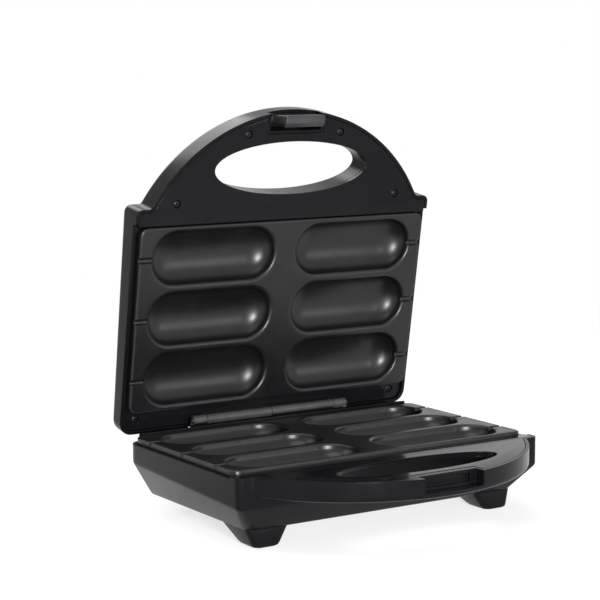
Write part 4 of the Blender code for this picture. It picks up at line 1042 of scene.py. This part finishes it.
# Feet, their rubber pads and the cooling slots
feet = {
    "rootSink": 0.0015, "padStand": 0.0009, "corner": 0.004, "soft": 0.0012,
    "levelShares": (0.0, 0.85, 0.95, 1.0), "padRadius": 0.0055, "padHeight": 0.0025, "padSoft": 0.0004,
    "grooveShares": (0.72, 0.68, 0.50, 0.46),
    "places": (
        dict(name="pad_front_foot", root=footEdges(0.0131, 0.0312, -plateHalf[1] - 0.0005, 0.0345),
             bottom=footEdges(0.0175, 0.018, -plateHalf[1] - 0.0027, 0.020)),
        dict(name="pad_rear_foot", root=footEdges(0.045, 0.020, plateHalf[1] - 0.0253, 0.018),
             bottom=footEdges(0.047, 0.016, plateHalf[1] - 0.0233, 0.014)),
    ),
}
footBottom = plateFace - feet["padStand"]
vent = {"length": 0.024, "width": 0.0025, "endShare": 0.45, "pitch": 0.0085, "rows": 2,
        "sideMargin": 0.053}


def makePad(node, x, y):
    # A disc with soft edges and a groove round its tread
    r, low, high, soft = feet["padRadius"], plateFace - feet["padHeight"], plateFace, feet["padSoft"]
    profile = [(r - soft, low), (r, low + soft), (r, high - soft), (r - soft, high)]
    groove = (high, high - soft, high - soft, high)
    profile += [(r * share, depth) for share, depth in zip(feet["grooveShares"], groove)]
    settle(turned(pieceName(node), profile, (x, y, 0), steps=meshForm["barSteps"]), "base", node)


# Indicator lenses in the lid and their lamps
lens = {"side": 0.013, "front": 0.018, "flange": 0.0048, "flangeHeight": 0.0013, "neck": 0.0036,
        "neckLength": 0.008, "bore": 0.0025, "face": 0.0018, "rise": 0.0006, "lamp": 0.0021,
        "lampLength": 0.009, "domeSteps": 7, "lampSteps": 8}


def makeIndicators():
    # Turned lenses with a bore from below, each round a turned lamp
    f, top, pole = lens, shell["depth"], meshForm["poleRadius"]
    seat, face = top - f["flangeHeight"], top - f["face"]
    end, tip = seat - f["neckLength"], face - shell["gap"]
    lensProfile = [(pole, face), (f["bore"], face), (f["bore"], end), (f["neck"], end),
                   (f["neck"], seat), (f["flange"], seat)]
    lensProfile += dome(f["flange"], top - f["rise"], top, f["domeSteps"])[::-1]
    lampProfile = dome(f["lamp"], tip - f["lamp"], tip, f["lampSteps"])
    lampProfile.append((f["lamp"], tip - f["lampLength"]))
    for hand, name in ((-1, "power"), (1, "ready")):
        origin = (hand * f["side"], -f["front"], 0)
        settle(turned(name + "Lens", lensProfile, origin), "lid", name + "_lens")
        settle(turned(name + "Lamp", lampProfile, origin), "lid", name + "_lamp")


# Cord gland, square to the sloping rear wall
gland = {"side": 0.043, "depth": 0.0255, "grip": 0.0029, "bore": 0.0043, "neck": 0.0061,
         "flange": 0.0082, "flangeThickness": 0.0018, "noseLength": 0.007, "nose": 0.0058, "rib": 0.0005,
         "ribMargin": 0.0006, "ribSteps": 9, "soft": 0.0005}
glandRear = halves["base"]["wallRear"]
glandSlope = math.atan2(halves["base"]["rearFlare"], shell["depth"] - glandRear)
glandPlace = (housingHalf - gland["side"],
              plateHalf[1] + halves["base"]["rearMargin"]
              - (gland["depth"] - glandRear) * math.tan(glandSlope), gland["depth"])
glandAxis = (0, math.cos(glandSlope), math.sin(glandSlope))


def makeGland():
    # A turned sleeve: flanges on both sides of the wall, then a nose whose radius steps in and out
    g, soft, seat = gland, gland["soft"], shell["gap"]
    outer = seat + g["flangeThickness"]
    inner, end = -g["grip"], -g["grip"] - g["flangeThickness"]
    lip = g["flange"] - g["flangeThickness"] / 2
    tip = outer + g["noseLength"]
    profile = [(g["bore"], end), (lip, end), (lip, inner), (g["neck"], inner), (g["neck"], seat),
               (g["flange"], seat), (g["flange"], outer - soft), (g["flange"] - soft, outer)]
    ribs = np.linspace(outer + g["ribMargin"], tip - g["ribMargin"], g["ribSteps"])
    profile += [(g["nose"] - (g["rib"] if index % 2 else 0), way) for index, way in enumerate(ribs)]
    profile += [(g["nose"] - soft, tip), (g["bore"], tip)]
    settle(turned("cordGland", profile, glandPlace, glandAxis, looped=True), "base", "cord_gland")


makeLidShell()
makeBaseShell()
makeFrame("lid")
makeFrame("base")
makeHingeRod()
makeLatch()
makeScrews()
makeIndicators()
makeGland()


# Floor, lamps and camera
print("Setting the studio")
white = (1, 1, 1, 1)
studio = {
    "floorRadius": 3.0, "floorSteps": 96, "floorColour": 0.45, "floorRough": 0.9, "floorGlow": 0.72,
    "fadeStart": 0.30, "fadeEnd": 1.1, "worldSky": 1.0, "worldLight": 0.25, "aimHeight": 0.09,
    "lamps": {  # metres and watts
        "frontLamp": dict(place=(-0.42, -1.20, 0.22), size=(0.28, 0.28), power=26),
        "rightLamp": dict(place=(0.62, -1.05, 0.22), size=(0.3, 0.3), power=1.8),
        "topPanel": dict(place=(-0.35, -0.2, 1.3), size=(0.9, 0.9), power=6),
        "sidePanel": dict(place=(-1.2, 0.45, 0.9), size=(0.5, 0.8), power=4),
        "backPanel": dict(place=(0.1, 1.15, 1.25), size=(0.8, 0.8), power=9),
    },
}
# Place and turns that lay the frame's corners on the photograph's
view = {"place": (-0.6803, -0.9934, 0.2957), "azimuth": -33.11, "elevation": 7.37, "roll": -0.18,
        "lens": 113.39, "sensor": 36.0}


def seenDirectly(tree):
    # 1 for what the camera sees itself, mirrored or through glass, and 0 for what only lights the scene
    path = addNode(tree, "ShaderNodeLightPath").outputs
    through = maths(tree, "MAXIMUM", path["Is Glossy Ray"], path["Is Transmission Ray"])
    return maths(tree, "MAXIMUM", path["Is Camera Ray"], through)


def makeFloor():
    # A disc that takes the shadow near the object and fades to white further out
    angle = 2 * math.pi * np.arange(studio["floorSteps"]) / studio["floorSteps"]
    ring = np.stack([np.cos(angle), np.sin(angle), angle * 0], -1) * studio["floorRadius"]
    floor = newObject("studioFloor", ring, [list(range(len(ring)))])
    material, tree, shader = startMaterial("paleFloor")
    feed(tree, shader, {"Base Color": (*[studio["floorColour"]] * 3, 1),
                        "Roughness": studio["floorRough"], "Specular IOR Level": 0.0})
    place = addNode(tree, "ShaderNodeTexCoord").outputs["Object"]
    length = addNode(tree, "ShaderNodeVectorMath", {0: place}, operation="LENGTH")
    away = addNode(tree, "ShaderNodeMapRange",
                   {"Value": length.outputs["Value"], "From Min": studio["fadeStart"],
                    "From Max": studio["fadeEnd"]}, interpolation_type="SMOOTHSTEP")
    plain = addNode(tree, "ShaderNodeEmission", {"Color": white})
    glow = addNode(tree, "ShaderNodeEmission", {"Strength": studio["floorGlow"]})
    lit = addNode(tree, "ShaderNodeAddShader", {0: shader.outputs["BSDF"], 1: glow.outputs["Emission"]})
    near = addNode(tree, "ShaderNodeMixShader",
                   {"Fac": away.outputs["Result"], 1: lit.outputs["Shader"], 2: plain.outputs["Emission"]})
    final = addNode(tree, "ShaderNodeMixShader",
                    {"Fac": seenDirectly(tree), 1: shader.outputs["BSDF"], 2: near.outputs["Shader"]})
    feed(tree, tree.nodes["Material Output"], {"Surface": final.outputs["Shader"]})
    floor.data.materials.append(material)


def makeWorld():
    # White where it is seen, dimmer as a light
    world = bpy.data.worlds.new("studioWorld")
    world.use_nodes = True
    tree = world.node_tree
    strength = addNode(tree, "ShaderNodeMapRange", {"Value": seenDirectly(tree),
                                                    "To Min": studio["worldLight"],
                                                    "To Max": studio["worldSky"]})
    feed(tree, tree.nodes["Background"], {"Color": white, "Strength": strength.outputs["Result"]})
    bpy.context.scene.world = world


def makeLamps():
    # Flat panels that all face the object's middle
    target = Vector((0, plateMiddle, studio["aimHeight"]))
    for name, panel in studio["lamps"].items():
        lamp = bpy.data.lights.new(name, "AREA")
        lamp.shape = "RECTANGLE"
        lamp.size, lamp.size_y = panel["size"]
        lamp.energy = panel["power"]
        holder = bpy.data.objects.new(name, lamp)
        bpy.context.scene.collection.objects.link(holder)
        holder.location = panel["place"]
        holder.rotation_euler = (target - holder.location).to_track_quat("-Z", "Y").to_euler()


def makeCamera():
    a, e, r = (math.radians(view[key]) for key in ("azimuth", "elevation", "roll"))
    back = Vector((math.sin(a) * math.cos(e), -math.cos(a) * math.cos(e), math.sin(e)))
    right = Vector((math.cos(a), math.sin(a), 0))
    up = back.cross(right)
    turn = Matrix((right * math.cos(r) + up * math.sin(r), up * math.cos(r) - right * math.sin(r), back))
    data = bpy.data.cameras.new("studioCamera")
    data.lens = view["lens"]
    data.sensor_width = view["sensor"]
    camera = bpy.data.objects.new("studioCamera", data)
    bpy.context.scene.collection.objects.link(camera)
    camera.matrix_world = Matrix.Translation(view["place"]) @ turn.transposed().to_4x4()
    bpy.context.scene.camera = camera


makeFloor()
makeWorld()
makeLamps()
makeCamera()
bpy.context.scene.view_settings.view_transform = "Standard"

print("Finishing")
